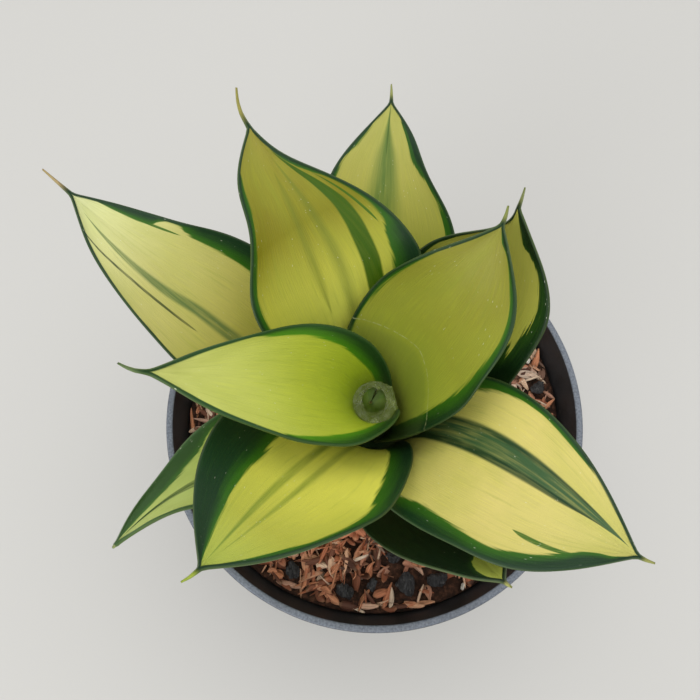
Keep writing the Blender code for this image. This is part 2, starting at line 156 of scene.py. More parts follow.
class Painter:
    """Builds the nodes of one material. A value can be a number, a colour or another node's output."""

    def __init__(self, name):
        self.material = bpy.data.materials.new(name)
        self.material.use_nodes = True
        self.tree = self.material.node_tree
        self.shader = self.tree.nodes["Principled BSDF"]

    def put(self, socket, value):
        if isinstance(value, bpy.types.NodeSocket):
            self.tree.links.new(value, socket)
        elif socket.type == "RGBA":
            socket.default_value = (*value, 1.0)
        else:
            socket.default_value = value

    def set(self, **values):
        """Sets the shader's own inputs, with underscores for the spaces in their names."""
        for name, value in values.items():
            self.put(self.shader.inputs[name.replace("_", " ").title().replace("Ior", "IOR")], value)

    def math(self, operation, a, b=0.0):
        node = self.tree.nodes.new("ShaderNodeMath")
        node.operation = operation
        self.put(node.inputs[0], a)
        self.put(node.inputs[1], b)
        return node.outputs[0]

    def plus(self, a, b):
        return self.math("ADD", a, b)

    def minus(self, a, b):
        return self.math("SUBTRACT", a, b)

    def times(self, a, b):
        return self.math("MULTIPLY", a, b)

    def larger(self, a, b):
        return self.math("MAXIMUM", a, b)

    def size(self, a):
        return self.math("ABSOLUTE", a)

    def step(self, value, low, high, start=0.0, end=1.0):
        """Eases from start to end as value goes from low to high."""
        node = self.tree.nodes.new("ShaderNodeMapRange")
        node.interpolation_type = "SMOOTHSTEP"
        for socket, number in zip(node.inputs, (value, low, high, start, end)):
            self.put(socket, number)
        return node.outputs[0]

    def mix(self, share, a, b, blend="MIX"):
        node = self.tree.nodes.new("ShaderNodeMix")
        node.data_type = "RGBA"
        node.blend_type = blend
        self.put(node.inputs[0], share)
        self.put(node.inputs[6], a)
        self.put(node.inputs[7], b)
        return node.outputs[2]

    def curve(self, value, points):
        """A smooth curve through (x, y) points, with y from 0 to 1."""
        node = self.tree.nodes.new("ShaderNodeFloatCurve")
        line = node.mapping.curves[0].points
        for x, y in points[1:-1]:
            line.new(x, y)
        line[0].location = points[0]
        line[len(line) - 1].location = points[-1]
        for point in line:
            point.handle_type = "AUTO_CLAMPED"
        node.mapping.update()
        self.put(node.inputs["Value"], value)
        return node.outputs[0]

    def ramp(self, value, stops):
        """A colour ramp from (place, colour) stops."""
        node = self.tree.nodes.new("ShaderNodeValToRGB")
        line = node.color_ramp.elements
        for place, colour in stops[1:-1]:
            line.new(place).color = (*colour, 1.0)
        line[0].position, line[0].color = stops[0][0], (*stops[0][1], 1.0)
        line[len(line) - 1].position, line[len(line) - 1].color = stops[-1][0], (*stops[-1][1], 1.0)
        self.put(node.inputs[0], value)
        return node.outputs[0]

    def noise(self, vector, scale, detail=2.0, roughness=0.5):
        node = self.tree.nodes.new("ShaderNodeTexNoise")
        self.put(node.inputs["Vector"], vector)
        self.put(node.inputs["Scale"], scale)
        self.put(node.inputs["Detail"], detail)
        self.put(node.inputs["Roughness"], roughness)
        return node.outputs[0]

    def cells(self, vector, scale):
        node = self.tree.nodes.new("ShaderNodeTexVoronoi")
        self.put(node.inputs["Vector"], vector)
        self.put(node.inputs["Scale"], scale)
        return node.outputs["Distance"]

    def stretch(self, vector, scale, offset=(0.0, 0.0, 0.0)):
        node = self.tree.nodes.new("ShaderNodeMapping")
        self.put(node.inputs["Vector"], vector)
        self.put(node.inputs["Scale"], scale)
        self.put(node.inputs["Location"], offset)
        return node.outputs[0]

    def attribute(self, name):
        node = self.tree.nodes.new("ShaderNodeAttribute")
        node.attribute_name = name
        return node.outputs["Vector"]

    def split(self, vector):
        node = self.tree.nodes.new("ShaderNodeSeparateXYZ")
        self.put(node.inputs[0], vector)
        return node.outputs[0], node.outputs[1], node.outputs[2]

    def millimetres(self):
        """Where a point is, in the object's own space, in millimetres."""
        node = self.tree.nodes.new("ShaderNodeTexCoord")
        return self.stretch(node.outputs["Object"], (1 / MM, 1 / MM, 1 / MM))

    def facing_up(self):
        node = self.tree.nodes.new("ShaderNodeNewGeometry")
        return self.split(node.outputs["Normal"])[2]

    def bump(self, height, depth, after=None):
        """Relief of the given depth in millimetres. Each one can be laid over another."""
        node = self.tree.nodes.new("ShaderNodeBump")
        self.put(node.inputs["Height"], height)
        node.inputs["Distance"].default_value = depth * MM
        if after is not None:
            self.put(node.inputs["Normal"], after)
        return node.outputs[0]


# Meshes.

def smooth_object(name, mesh, material):
    """Puts a mesh in the scene as a smooth shaded object."""
    mesh.materials.append(material)
    mesh.shade_smooth()
    obj = bpy.data.objects.new(name, mesh)
    bpy.context.scene.collection.objects.link(obj)
    return obj


def mesh_object(name, points, faces, material, attributes=None):
    """An object from points in millimetres. Attributes are vectors, one for each point."""
    mesh = bpy.data.meshes.new(name)
    mesh.from_pydata((np.asarray(points) * MM).tolist(), [], faces)
    for key, values in (attributes or {}).items():
        mesh.attributes.new(key, "FLOAT_VECTOR", "POINT").data.foreach_set("vector", np.ravel(values))
    return smooth_object(name, mesh, material)


def point_faces_out(obj):
    builder = bmesh.new()
    builder.from_mesh(obj.data)
    builder.normal_update()
    bmesh.ops.recalc_face_normals(builder, faces=builder.faces)
    builder.to_mesh(obj.data)
    builder.free()


def tube_faces(rings, count, closed_rings=False):
    """Quads between rings of count points each, numbered ring after ring."""
    faces = []
    for ring in range(rings if closed_rings else rings - 1):
        following = (ring + 1) % rings
        for i in range(count):
            j = (i + 1) % count
            faces.append((ring * count + i, ring * count + j, following * count + j, following * count + i))
    return faces


def place(obj, node, slot):
    """Puts the piece on the plant's one body, in the place of its CAD node."""
    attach(obj, BODY)
    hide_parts(node)


# The leaves: their shape.

class Leaf:
    """One leaf's shape. The open leaves have the same values as their CAD solids."""

    def __init__(self, place, azimuth, length, half_width, lean, cup, widest=0.52, twist=0.0, sweep=0.0,
                 hook=0.0, taper=(2.0, 2.0), pinch=(0.0, 0.0), pinch_at=(0.84, 0.84), opening=None, spike=5.0,
                 spike_turn=0.0):
        self.place = place
        self.name = f"leaf_{place:02d}"
        self.azimuth = azimuth
        self.length = length
        self.half_width = half_width
        self.lean = lean
        self.cup = cup
        self.widest = widest
        self.twist = twist
        self.sweep = sweep
        self.hook = hook
        self.taper = taper
        self.pinch = pinch
        self.pinch_at = pinch_at
        self.spike = spike
        self.spike_turn = spike_turn
        self.base_radius = FIRST_BASE_RADIUS + BASE_RADIUS_STEP * (place - 1)
        self.base_z = FIRST_BASE_Z - BASE_Z_STEP * (place - 1)
        self.opening = opening or (0.0, max(0.65, 0.80 - 0.03 * place))
        self.foot_share = FOOT_WIDTH_SHARE
        self.thickest = LEAF_THICKNESS


def rolled_leaf():
    """The young leaf. It is rolled a little tighter than its CAD solid, and its tip is blunter."""
    leaf = Leaf(0, azimuth=-115, length=34, half_width=9.5, lean=(0, -1), cup=172, widest=0.55,
                taper=(6.0, 6.0), spike=1.5)
    leaf.name = "young_rolled_leaf"
    leaf.base_radius = 2.6
    leaf.base_z = 123.0
    leaf.foot_share = 0.8
    leaf.thickest = 1.4
    return leaf


def rosette():
    """The ten open leaves, from the innermost outwards.

    Most of these values come from a least-squares fit to the leaves' outlines in the photo, rounded.
    """
    return [
        Leaf(1, azimuth=191.5, length=114.5, half_width=22, lean=(2.5, 46.5), cup=31, widest=0.41, twist=5,
             sweep=-6, hook=2, taper=(2.0, 1.4), opening=(0.17, 0.71), spike=6.5, spike_turn=-35),
        Leaf(2, azimuth=36, length=100, half_width=23.5, lean=(7, 37), cup=37, widest=0.51, twist=-7,
             sweep=2, hook=18, taper=(2.1, 2.3), pinch=(-0.08, -0.08), spike=5, spike_turn=25),
        Leaf(3, azimuth=106.5, length=116, half_width=27, lean=(8.5, 53), cup=39, widest=0.60, twist=1.5,
             sweep=29, hook=-7.5, taper=(3.1, 1.3), pinch=(0.27, 0.60), pinch_at=(0.83, 0.975), spike=10,
             spike_turn=-42),
        Leaf(4, azimuth=-128.5, length=115.5, half_width=25, lean=(5.5, 51), cup=29, widest=0.60, twist=-4,
             sweep=-3, hook=2, taper=(2.2, 2.4), spike=5, spike_turn=-22),
        Leaf(5, azimuth=-43, length=112, half_width=25, lean=(8, 68.5), cup=30, twist=-7,
             sweep=3, hook=2, taper=(2.0, 2.3), pinch=(0.0, -0.12), spike=3.6, spike_turn=16),
        Leaf(6, azimuth=33, length=103, half_width=24.5, lean=(21, 23.5), cup=25, widest=0.51, twist=14,
             sweep=40, hook=-5.5, taper=(2.5, 2.7), pinch=(0.9, -0.15), pinch_at=(1.0, 0.84), spike=6,
             spike_turn=11),
        Leaf(7, azimuth=150, length=123.5, half_width=23, lean=(21, 60.5), cup=32, widest=0.50,
             sweep=-2, hook=-8, taper=(2.0, 1.8), pinch=(0.0, 0.08), spike=9),
        Leaf(8, azimuth=82.5, length=107.5, half_width=24, lean=(21, 57), cup=29, widest=0.55,
             sweep=2, taper=(2.0, 1.9), pinch=(-0.12, 0.18), spike=5, spike_turn=5),
        Leaf(9, azimuth=-64, length=92.5, half_width=22.5, lean=(20, 34.5), cup=34, widest=0.51, twist=-3,
             sweep=2, hook=2, spike=3, spike_turn=20),
        Leaf(10, azimuth=-155, length=107.5, half_width=22, lean=(13, 54.5), cup=41, widest=0.42, twist=-12,
             sweep=11, hook=20, taper=(1.4, 1.3), pinch=(0.22, 0.22), spike=1),
    ]


def midrib(leaf):
    """Steps along the midrib, with each one's centre, its upward normal and its sideways direction."""
    end = 1.0 + leaf.spike / leaf.length
    share = np.linspace(0.0, end, MIDRIB_STEPS + 1)
    lean = np.radians(leaf.lean[0] + (leaf.lean[1] - leaf.lean[0]) * smooth(share))
    turn = leaf.sweep * np.minimum(share, 1.0) ** 2 + leaf.hook * smooth((share - 0.65) / 0.35)
    turn = turn + leaf.spike_turn * smooth((share - 1.0) / (end - 1.0))
    azimuth = np.radians(leaf.azimuth + turn)
    east = np.cos(azimuth)
    north = np.sin(azimuth)
    forward = np.stack([np.sin(lean) * east, np.sin(lean) * north, np.cos(lean)], axis=1)
    step = leaf.length * end / MIDRIB_STEPS
    start = math.radians(leaf.azimuth)
    base_x = PLANT_X + leaf.base_radius * math.cos(start)
    base_y = PLANT_Y + leaf.base_radius * math.sin(start)
    centre = np.zeros((MIDRIB_STEPS + 1, 3))
    centre[1:] = np.cumsum((forward[1:] + forward[:-1]) / 2 * step, axis=0)
    centre += (base_x, base_y, leaf.base_z)
    up = np.stack([-np.cos(lean) * east, -np.cos(lean) * north, np.sin(lean)], axis=1)
    side = np.stack([-north, east, np.zeros_like(azimuth)], axis=1)
    twist = np.radians(leaf.twist * np.minimum(share, 1.0) ** 1.5)[:, None]
    twisted_up = up * np.cos(twist) + side * np.sin(twist)
    twisted_side = side * np.cos(twist) - up * np.sin(twist)
    return share, centre, twisted_up, twisted_side


def side_width(leaf, share, edge):
    """The width from the midrib to the left (edge 0) or right (edge 1) margin, soft at the spike's start."""
    growth = np.sin(np.pi / 2 * np.minimum(share / leaf.widest, 1.0))
    lower = leaf.half_width * (leaf.foot_share + (1 - leaf.foot_share) * growth)
    past_widest = np.clip((share - leaf.widest) / (1 - leaf.widest), 0.0, 1.0)
    upper = leaf.half_width * (1 - past_widest ** leaf.taper[edge])
    width = np.where(share < leaf.widest, lower, upper)
    width = width * (1 - leaf.pinch[edge] * np.exp(-(((share - leaf.pinch_at[edge]) / PINCH_REACH) ** 2)))
    past_tip = np.maximum(share - 1.0, 0.0) * leaf.length / leaf.spike
    spike = SPIKE_HALF_WIDTH * (1.0 - (1.0 - SPIKE_END_SCALE) * past_tip)
    return np.sqrt(width ** 2 + (spike * smooth((share - 0.8) / 0.2)) ** 2)


def thickness(leaf, share, across):
    """Full thickness: thick along the midrib, thinner at the foot, the tip and the round margins."""
    foot = FOOT_THICKNESS + (leaf.thickest - FOOT_THICKNESS) * smooth(share / 0.35)
    middle = foot + (MARGIN_THICKNESS - foot) * smooth((share - 0.5) / 0.5)
    middle = np.where(share > 1.0, MARGIN_THICKNESS * 0.8, middle)
    full = middle + (np.minimum(MARGIN_THICKNESS, middle) - middle) * np.abs(across) ** 2.5
    past_round = np.clip((np.abs(across) - 1 + ROUND_MARGIN) / ROUND_MARGIN, 0.0, 1.0)
    return full * np.sqrt(1 - past_round ** 2)


def relief(leaf, share, across):
    """How far the grown surface stands off the plain one: swells, rippled margins and a midrib groove."""
    slow = np.zeros(np.broadcast(share, across).shape)
    for row, s in enumerate(share[:, 0]):
        for column, v in enumerate(across[0]):
            along = s * leaf.length / SWELL_LENGTH
            aside = v * leaf.half_width / SWELL_WIDTH
            slow[row, column] = noise.noise(Vector((along, aside, leaf.place * 7.3)))
    opened = smooth((share - 0.42) / 0.2) * smooth((1.02 - share) / 0.12)
    wave = np.sin(share * leaf.length / RIPPLE_LENGTH + leaf.place * 1.7 + 2.0 * slow)
    ripple = RIPPLE_HEIGHT * wave * np.abs(across) ** 6
    groove = GROOVE_DEPTH * np.exp(-(across / GROOVE_SHARE) ** 2)
    return (SWELL_HEIGHT * slow + ripple - groove) * opened


def column_places():
    """Places across the blade, from the right margin to the left one, close together at the margins."""
    even = np.linspace(-1.0, 1.0, LEAF_COLUMNS + 1)
    return 0.62 * np.sin(even * np.pi / 2) + 0.38 * even


def blade_surface(leaf):
    """Points on the blade's middle surface, its normals and its half thickness, row by row from the foot."""
    steps, centres, ups, sides = midrib(leaf)
    tip = 1.0 + leaf.spike / leaf.length
    rows = np.linspace(0.0, 1.0, LEAF_ROWS) ** 0.92
    share = np.concatenate([rows, np.linspace(1.0, tip, SPIKE_ROWS + 1)[1:]])[:, None]
    across = column_places()[None, :]
    centre, up, side = [
        np.stack([np.interp(share[:, 0], steps, values[:, i]) for i in range(3)], axis=1)[:, None, :]
        for values in (centres, ups, sides)
    ]
    width = np.where(across > 0, side_width(leaf, share, 0), side_width(leaf, share, 1))
    cup = math.radians(leaf.cup)
    foot_cup = min(leaf.half_width * leaf.foot_share / leaf.base_radius, math.radians(WIDEST_CUP))
    closed_until, opened_at = leaf.opening
    opened = smooth((share - closed_until) / (opened_at - closed_until))
    half_angle = foot_cup + (cup - foot_cup) * opened
    radius = width / half_angle
    angle = across * half_angle
    normal = np.cos(angle)[..., None] * up - np.sin(angle)[..., None] * side
    raised = radius * (1 - np.cos(angle))
    sideways = radius * np.sin(angle)
    middle = centre + raised[..., None] * up + sideways[..., None] * side
    middle = middle + relief(leaf, share, across)[..., None] * normal
    half = thickness(leaf, share, across) / 2
    return share, across, width, middle, normal, half


def make_leaf(leaf, material):
    """The leaf's closed mesh: rings along the upper face from right to left, and back along the lower face.

    Each point carries its share of the length, its place across and its side of the blade ("where"), and how
    far it lies from the midrib, from the foot and from the nearest margin, in millimetres ("blade").
    """
    share, across, width, middle, normal, half = blade_surface(leaf)
    upper = middle + normal * half[..., None]
    lower = (middle - normal * half[..., None])[:, -2:0:-1]
    rows = len(share)
    loops = np.concatenate([upper, lower], axis=1)
    count = loops.shape[1]
    columns = np.concatenate([across[0], across[0][-2:0:-1]])
    widths = np.concatenate([width, width[:, -2:0:-1]], axis=1)
    below = np.concatenate([np.zeros(LEAF_COLUMNS + 1), np.ones(LEAF_COLUMNS - 1)])
    below[[0, LEAF_COLUMNS]] = 0.5
    where = np.stack([np.broadcast_to(share, (rows, count)), np.broadcast_to(columns, (rows, count)),
                      np.broadcast_to(below, (rows, count))], axis=2)
    blade = np.stack([np.broadcast_to(columns * leaf.half_width, (rows, count)),
                      np.broadcast_to(share * leaf.length, (rows, count)),
                      widths * (1 - np.abs(columns))], axis=2)
    faces = tube_faces(rows, count)
    for start in (0, (rows - 1) * count):
        cap = [(start + i, start + i + 1, start + (count - i - 1) % count, start + (count - i) % count)
               for i in range(1, LEAF_COLUMNS - 1)]
        faces += [(start, start + 1, start + count - 1), *cap,
                  (start + LEAF_COLUMNS - 1, start + LEAF_COLUMNS, start + LEAF_COLUMNS + 1)]
    points = loops.reshape(-1, 3)
    obj = mesh_object(f"{leaf.name}_blade", points, faces, material, {"where": where, "blade": blade})
    point_faces_out(obj)
    place(obj, leaf.name, "leaf")


def shore(surface, level):
    """Where each line along the blade crosses a level: one point for each column, from margin to margin."""
    points = []
    for column in range(surface.shape[1]):
        line = surface[:, column]
        row = int(np.argmax(line[:, 2] > level))
        part = (level - line[row - 1, 2]) / (line[row, 2] - line[row - 1, 2])
        points.append(line[row - 1] + (line[row] - line[row - 1]) * part)
    return np.array(points)


def make_whorl_water(leaf, material):
    """Water that stands in the innermost leaf's rolled foot, and creeps up a little along the blade."""
    _, _, _, middle, normal, half = blade_surface(leaf)
    wall = middle + normal * half[..., None] * 0.7
    top = shore(wall, WATER_LEVEL)
    bottom = shore(wall, WATER_LEVEL - WATER_DEPTH)
    centre = top.mean(axis=0)
    rings = [bottom.mean(axis=0) + (bottom - bottom.mean(axis=0)) * 0.97]
    for out, rise in WATER_RINGS:
        rings.append(centre + (top - centre) * out + (0.0, 0.0, rise))
    count = len(top)
    faces = tube_faces(len(rings), count)
    points = np.concatenate([*rings, [bottom.mean(axis=0), centre]])
    last = (len(rings) - 1) * count
    for i in range(count):
        j = (i + 1) % count
        faces.append((len(points) - 2, j, i))
        faces.append((len(points) - 1, last + i, last + j))
    obj = mesh_object("whorl_water", points, faces, material)
    point_faces_out(obj)
    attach(obj, BODY)


def water_material():
    """A thin veil of cloudy water with a paler film, partly dust and partly a painted reflection of the sky.
    Alpha lets the blade show through it.
    """
    paint = Painter("cloudy_water")
    spot = paint.millimetres()
    film_and_sky_reflection = paint.noise(spot, 0.35, 4.0, 0.65)
    # The paler, denser patches are partly dust and partly a painted reflection of the sky.
    colour = paint.mix(paint.step(film_and_sky_reflection, 0.35, 0.7), (0.20, 0.27, 0.04), (0.34, 0.41, 0.13))
    cover = paint.step(film_and_sky_reflection, 0.3, 0.7, 0.40, 0.60)
    paint.set(base_color=colour, roughness=0.06, alpha=cover, ior=1.33,
              normal=paint.bump(paint.noise(spot, 0.25, 1.0), 0.25))
    return paint.material


# The leaves: their colours. A field's colours go with the share of the leaf's length. A margin's green begins
# at (share of the length, share of the half width). A stripe runs the same way, and is negative on the right.

DARK = (0.008, 0.034, 0.012)
BRIGHT = (0.032, 0.125, 0.008)


class Stripe:
    """A stripe along the leaf: its middle line, its half width, and how strong and how broken up it is."""

    def __init__(self, middle, half_width, colour=BRIGHT, strength=1.0, soft=0.35, broken=0.3):
        self.middle = middle
        self.half_width = half_width
        self.colour = colour
        self.strength = strength
        self.soft = soft
        self.broken = broken


class Look:
    """One leaf's colours: its pale field, where each margin's green begins, its stripes and its spike."""

    def __init__(self, field, right, left, stripes=(), dark=DARK, bright=BRIGHT, spike=(0.30, 0.22, 0.08),
                 ragged=0.05, waterline=False):
        self.field = field
        self.right = right
        self.left = left
        self.stripes = stripes
        self.dark = dark
        self.bright = bright
        self.spike = spike
        self.ragged = ragged
        self.waterline = waterline


def young_leaf_look():
    """The young rolled leaf: green, with painted shade darkening its tip for the shadow inside its opening.
    """
    return Look(
        # The field's last two stops are painted shade in the leaf's opening.
        field=[(0, (0.10, 0.17, 0.02)), (0.85, (0.14, 0.24, 0.03)), (0.96, (0.05, 0.10, 0.02)),
               (1, (0.02, 0.04, 0.01))],
        right=[(0, 0.6), (1, 0.7)],
        left=[(0, 0.6), (1, 0.7)],
    )


def look_1():
    """Lime green, with a margin that is wide and bright round the rolled foot. The margin greens are partly
    its own colour and partly painted light against the shade round the roll.
    """
    return Look(
        field=[(0, (0.26, 0.40, 0.02)), (0.35, (0.44, 0.56, 0.03)), (0.6, (0.42, 0.49, 0.05)),
               (1, (0.56, 0.59, 0.19))],
        right=[(0, 0.3), (0.29, 0.70), (0.38, 0.68), (0.48, 0.74), (0.58, 0.80), (0.7, 0.85), (0.81, 0.97),
               (0.9, 0.90), (1, 0.9)],
        left=[(0, 0.45), (0.35, 0.66), (0.57, 0.78), (0.69, 0.9), (0.78, 1.0), (0.86, 1.0), (0.93, 0.85),
              (1, 0.9)],
        # Margin greens lighter than the other leaves': partly painted light against the shade round the roll.
        dark=(0.014, 0.056, 0.013), bright=(0.070, 0.240, 0.009), spike=(0.10, 0.16, 0.06),
    )


def look_2():
    """Olive green and plain, with narrow margins and the ring of dried water. Its field is painted lighter
    towards the foot, as painted light against the shade deep in the whorl.
    """
    return Look(
        # The light foot of this field is partly painted light against the shade in the whorl.
        field=[(0, (0.52, 0.62, 0.10)), (0.38, (0.47, 0.54, 0.07)), (0.6, (0.29, 0.31, 0.04)),
               (0.8, (0.25, 0.25, 0.035)), (1, (0.26, 0.25, 0.045))],
        right=[(0, 0.5), (0.33, 0.65), (0.46, 0.72), (0.56, 0.78), (0.65, 0.82), (0.79, 0.88), (0.89, 0.82),
               (0.93, 0.8), (0.96, 0.5), (1, 0.4)],
        left=[(0, 0.7), (0.51, 0.93), (0.65, 0.9), (0.79, 0.9), (0.91, 0.95), (1, 0.9)],
        spike=(0.25, 0.28, 0.08), waterline=True,
    )


def look_3():
    """Golden green, with one dark band beside the right margin and two faint ones. The lower half of its
    field is painted lighter, as painted light against the shadow of leaves 1 and 2.
    """
    return Look(
        # The light lower stops are partly painted light against the shadow of leaves 1 and 2.
        field=[(0, (0.66, 0.68, 0.12)), (0.5, (0.60, 0.62, 0.10)), (0.62, (0.47, 0.47, 0.065)),
               (0.76, (0.20, 0.185, 0.010)), (0.9, (0.25, 0.235, 0.026)), (1, (0.30, 0.27, 0.05))],
        right=[(0, 0.5), (0.4, 0.60), (0.58, 0.68), (0.65, 0.76), (0.70, 0.88), (0.80, 0.90), (0.85, 0.82),
               (0.88, 0.72), (0.92, 0.66), (0.96, 0.74), (1, 0.8)],
        left=[(0, 0.7), (0.5, 0.88), (0.67, 0.9), (0.74, 0.85), (0.81, 0.88), (0.86, 0.83), (0.92, 0.88),
              (0.96, 1.0), (1, 0.95)],
        stripes=[
            Stripe([(0.5, -0.44), (0.55, -0.45), (0.66, -0.51), (0.72, -0.57), (0.78, -0.61), (0.83, -0.61),
                    (0.87, -0.60), (0.92, -0.60), (0.96, -0.7)],
                   [(0.0, 0.12), (0.55, 0.10), (0.72, 0.11), (0.83, 0.09), (0.90, 0.06), (0.95, 0)],
                   colour=(0.045, 0.110, 0.003), soft=0.2, broken=0.08),
            Stripe([(0.5, -0.80), (1.0, -0.80)],
                   [(0.68, 0), (0.72, 0.02), (0.80, 0.022), (0.86, 0)]),
            Stripe([(0.5, -0.12), (0.75, -0.17), (0.95, -0.2)],
                   [(0.35, 0.05), (0.6, 0.08), (0.85, 0.06), (0.93, 0)],
                   colour=(0.11, 0.16, 0.02), strength=0.5, soft=1.0),
            Stripe([(0.5, 0.14), (0.68, 0.12), (0.95, 0.05)],
                   [(0.5, 0.0), (0.66, 0.07), (0.82, 0.06), (0.9, 0)],
                   colour=(0.14, 0.18, 0.02), strength=0.5, soft=1.0),
        ],
        spike=(0.34, 0.30, 0.07),
    )


def look_4():
    """Yellow, with a very wide right margin and two faint stripes. Its field up to the middle is a painted
    pool of light against the shadow that leaf 1 casts on it.
    """
    return Look(
        # The first two stops are a painted pool of light against leaf 1's shadow.
        field=[(0, (0.80, 0.78, 0.12)), (0.55, (0.80, 0.78, 0.12)), (0.85, (0.41, 0.42, 0.06)),
               (1, (0.36, 0.44, 0.08))],
        right=[(0, 0.3), (0.3, 0.4), (0.5, 0.45), (0.62, 0.43), (0.70, 0.38), (0.77, 0.40), (0.83, 0.40),
               (0.88, 0.36), (0.94, 0.36), (1, 0.5)],
        left=[(0, 0.5), (0.41, 0.70), (0.59, 0.78), (0.72, 0.88), (0.81, 0.90), (0.88, 0.83), (0.92, 0.80),
              (1, 0.8)],
        stripes=[
            Stripe([(0, -0.05), (1, -0.05)],
                   [(0.45, 0.05), (0.8, 0.045), (0.96, 0.02), (1, 0)],
                   strength=0.6, soft=0.7, broken=0.5),
            Stripe([(0, 0.15), (1, 0.15)],
                   [(0.4, 0.05), (0.8, 0.035), (0.94, 0.01), (0.97, 0)],
                   strength=0.5, soft=0.7, broken=0.5),
        ],
        spike=(0.38, 0.48, 0.05),
    )


def look_5():
    """Pale yellow, with a dark green band, thin lines beside it and a splash in the right margin."""
    return Look(
        field=[(0, (0.70, 0.66, 0.13)), (0.45, (0.68, 0.62, 0.17)), (0.7, (0.66, 0.57, 0.19)),
               (1, (0.50, 0.47, 0.14))],
        right=[(0, 0.6), (0.35, 0.74), (0.47, 0.78), (0.56, 0.72), (0.66, 0.76), (0.73, 0.80), (0.80, 0.74),
               (0.88, 0.62), (0.92, 0.52), (0.96, 0.65), (1, 0.7)],
        left=[(0, 0.6), (0.35, 0.8), (0.49, 0.83), (0.59, 0.88), (0.69, 0.90), (0.77, 0.88), (0.84, 0.93),
              (0.91, 1.0), (1, 1.0)],
        stripes=[
            Stripe([(0, 0.27), (0.8, 0.28), (0.96, 0.35)],
                   [(0.1, 0.20), (0.5, 0.19), (0.8, 0.16), (0.93, 0.09), (0.98, 0)],
                   colour=(0.045, 0.105, 0.040), soft=0.2, broken=0.28),
            Stripe([(0, 0.13), (0.8, 0.15), (0.96, 0.28)],
                   [(0.1, 0.05), (0.8, 0.045), (0.95, 0)],
                   colour=DARK, strength=0.9, soft=0.5, broken=0.4),
            Stripe([(0, 0.42), (0.8, 0.41), (0.96, 0.41)],
                   [(0.1, 0.04), (0.8, 0.035), (0.95, 0)],
                   colour=DARK, strength=0.7, soft=0.7, broken=0.4),
            Stripe([(0.76, -0.48), (0.84, -0.56), (0.90, -0.66)],
                   [(0.755, 0), (0.79, 0.035), (0.88, 0.04), (0.93, 0)]),
        ],
        spike=(0.30, 0.30, 0.08),
    )


def look_6():
    """Mostly hidden: a dark, ragged right margin that widens towards the foot."""
    return Look(
        field=[(0, (0.24, 0.27, 0.04)), (0.6, (0.42, 0.43, 0.07)), (1, (0.44, 0.43, 0.09))],
        right=[(0, 0), (0.3, 0.1), (0.5, 0.45), (0.6, 0.65), (0.67, 0.75), (0.74, 0.80), (0.86, 0.80),
               (0.90, 0.65), (0.92, 0.45), (0.95, 0.40), (1, 0.3)],
        left=[(0, 0), (0.4, 0.3), (0.6, 0.7), (0.8, 0.9), (1, 0.9)],
        dark=(0.006, 0.024, 0.007), bright=(0.018, 0.060, 0.006), spike=(0.22, 0.25, 0.08), ragged=0.14,
    )


def look_7():
    """The palest leaf: a splash cuts into its right margin, and two stripes run on its left. The middle of
    its field is painted lighter, against the shade beside leaf 3.
    """
    return Look(
        # The stops at 0.5 and 0.75 are partly painted light against the shade beside leaf 3.
        field=[(0, (0.38, 0.38, 0.06)), (0.5, (0.50, 0.46, 0.10)), (0.75, (0.54, 0.51, 0.18)),
               (0.93, (0.62, 0.64, 0.30)), (1, (0.62, 0.66, 0.36))],
        right=[(0, 0.5), (0.5, 0.60), (0.62, 0.68), (0.72, 0.72), (0.76, 0.80), (0.78, 0.88), (0.80, 0.90),
               (0.82, 0.85), (0.84, 0.68), (0.88, 0.66), (0.93, 0.72), (0.96, 0.85), (1, 0.9)],
        left=[(0, 0.7), (0.5, 0.92), (0.65, 0.98), (0.71, 0.95), (0.77, 0.98), (0.9, 1.0), (1, 1.0)],
        stripes=[
            Stripe([(0.3, 0.20), (0.61, 0.20), (0.73, 0.28), (0.85, 0.35), (0.95, 0.42)],
                   [(0.2, 0.11), (0.6, 0.09), (0.75, 0.077), (0.9, 0.042), (0.96, 0)],
                   colour=(0.10, 0.17, 0.05), strength=0.9, soft=0.5, broken=0.45),
            Stripe([(0.6, 0.45), (0.76, 0.53), (0.82, 0.60), (0.88, 0.75), (0.94, 1.0)],
                   [(0.60, 0), (0.64, 0.018), (0.9, 0.026), (0.95, 0.01)],
                   colour=DARK, strength=0.9, broken=0.4),
            Stripe([(0.5, -0.71), (1.0, -0.71)],
                   [(0.76, 0), (0.80, 0.03), (0.86, 0.04), (0.9, 0)],
                   broken=0.4),
        ],
        spike=(0.42, 0.30, 0.14),
    )


def look_8():
    """Pale, with a soft green band along the middle that fades towards the tip."""
    return Look(
        field=[(0, (0.26, 0.28, 0.04)), (0.6, (0.34, 0.35, 0.06)), (0.8, (0.46, 0.44, 0.10)),
               (1, (0.46, 0.46, 0.13))],
        right=[(0, 0.5), (0.55, 0.85), (0.67, 0.86), (0.73, 0.90), (0.78, 0.84), (0.82, 0.75), (0.86, 0.66),
               (0.92, 0.68), (0.96, 0.8), (1, 0.9)],
        left=[(0, 0.5), (0.6, 0.88), (0.81, 0.90), (0.84, 0.93), (0.89, 0.84), (0.93, 0.85), (0.98, 1.0),
              (1, 1.0)],
        stripes=[
            Stripe([(0.5, 0.09), (0.7, 0.06), (0.83, 0.02), (0.88, 0.04), (0.95, 0.10)],
                   [(0.4, 0.2), (0.7, 0.27), (0.83, 0.27), (0.9, 0.18), (0.96, 0.06), (1, 0)],
                   colour=(0.10, 0.185, 0.035), strength=0.95, soft=0.85, broken=0.3),
            Stripe([(0.5, 0.06), (1.0, 0.06)],
                   [(0.84, 0), (0.9, 0.02), (0.96, 0.03), (1.0, 0.05)],
                   colour=(0.06, 0.12, 0.02), strength=0.8, soft=0.6, broken=0.2),
        ],
        spike=(0.32, 0.34, 0.10), ragged=0.10,
    )


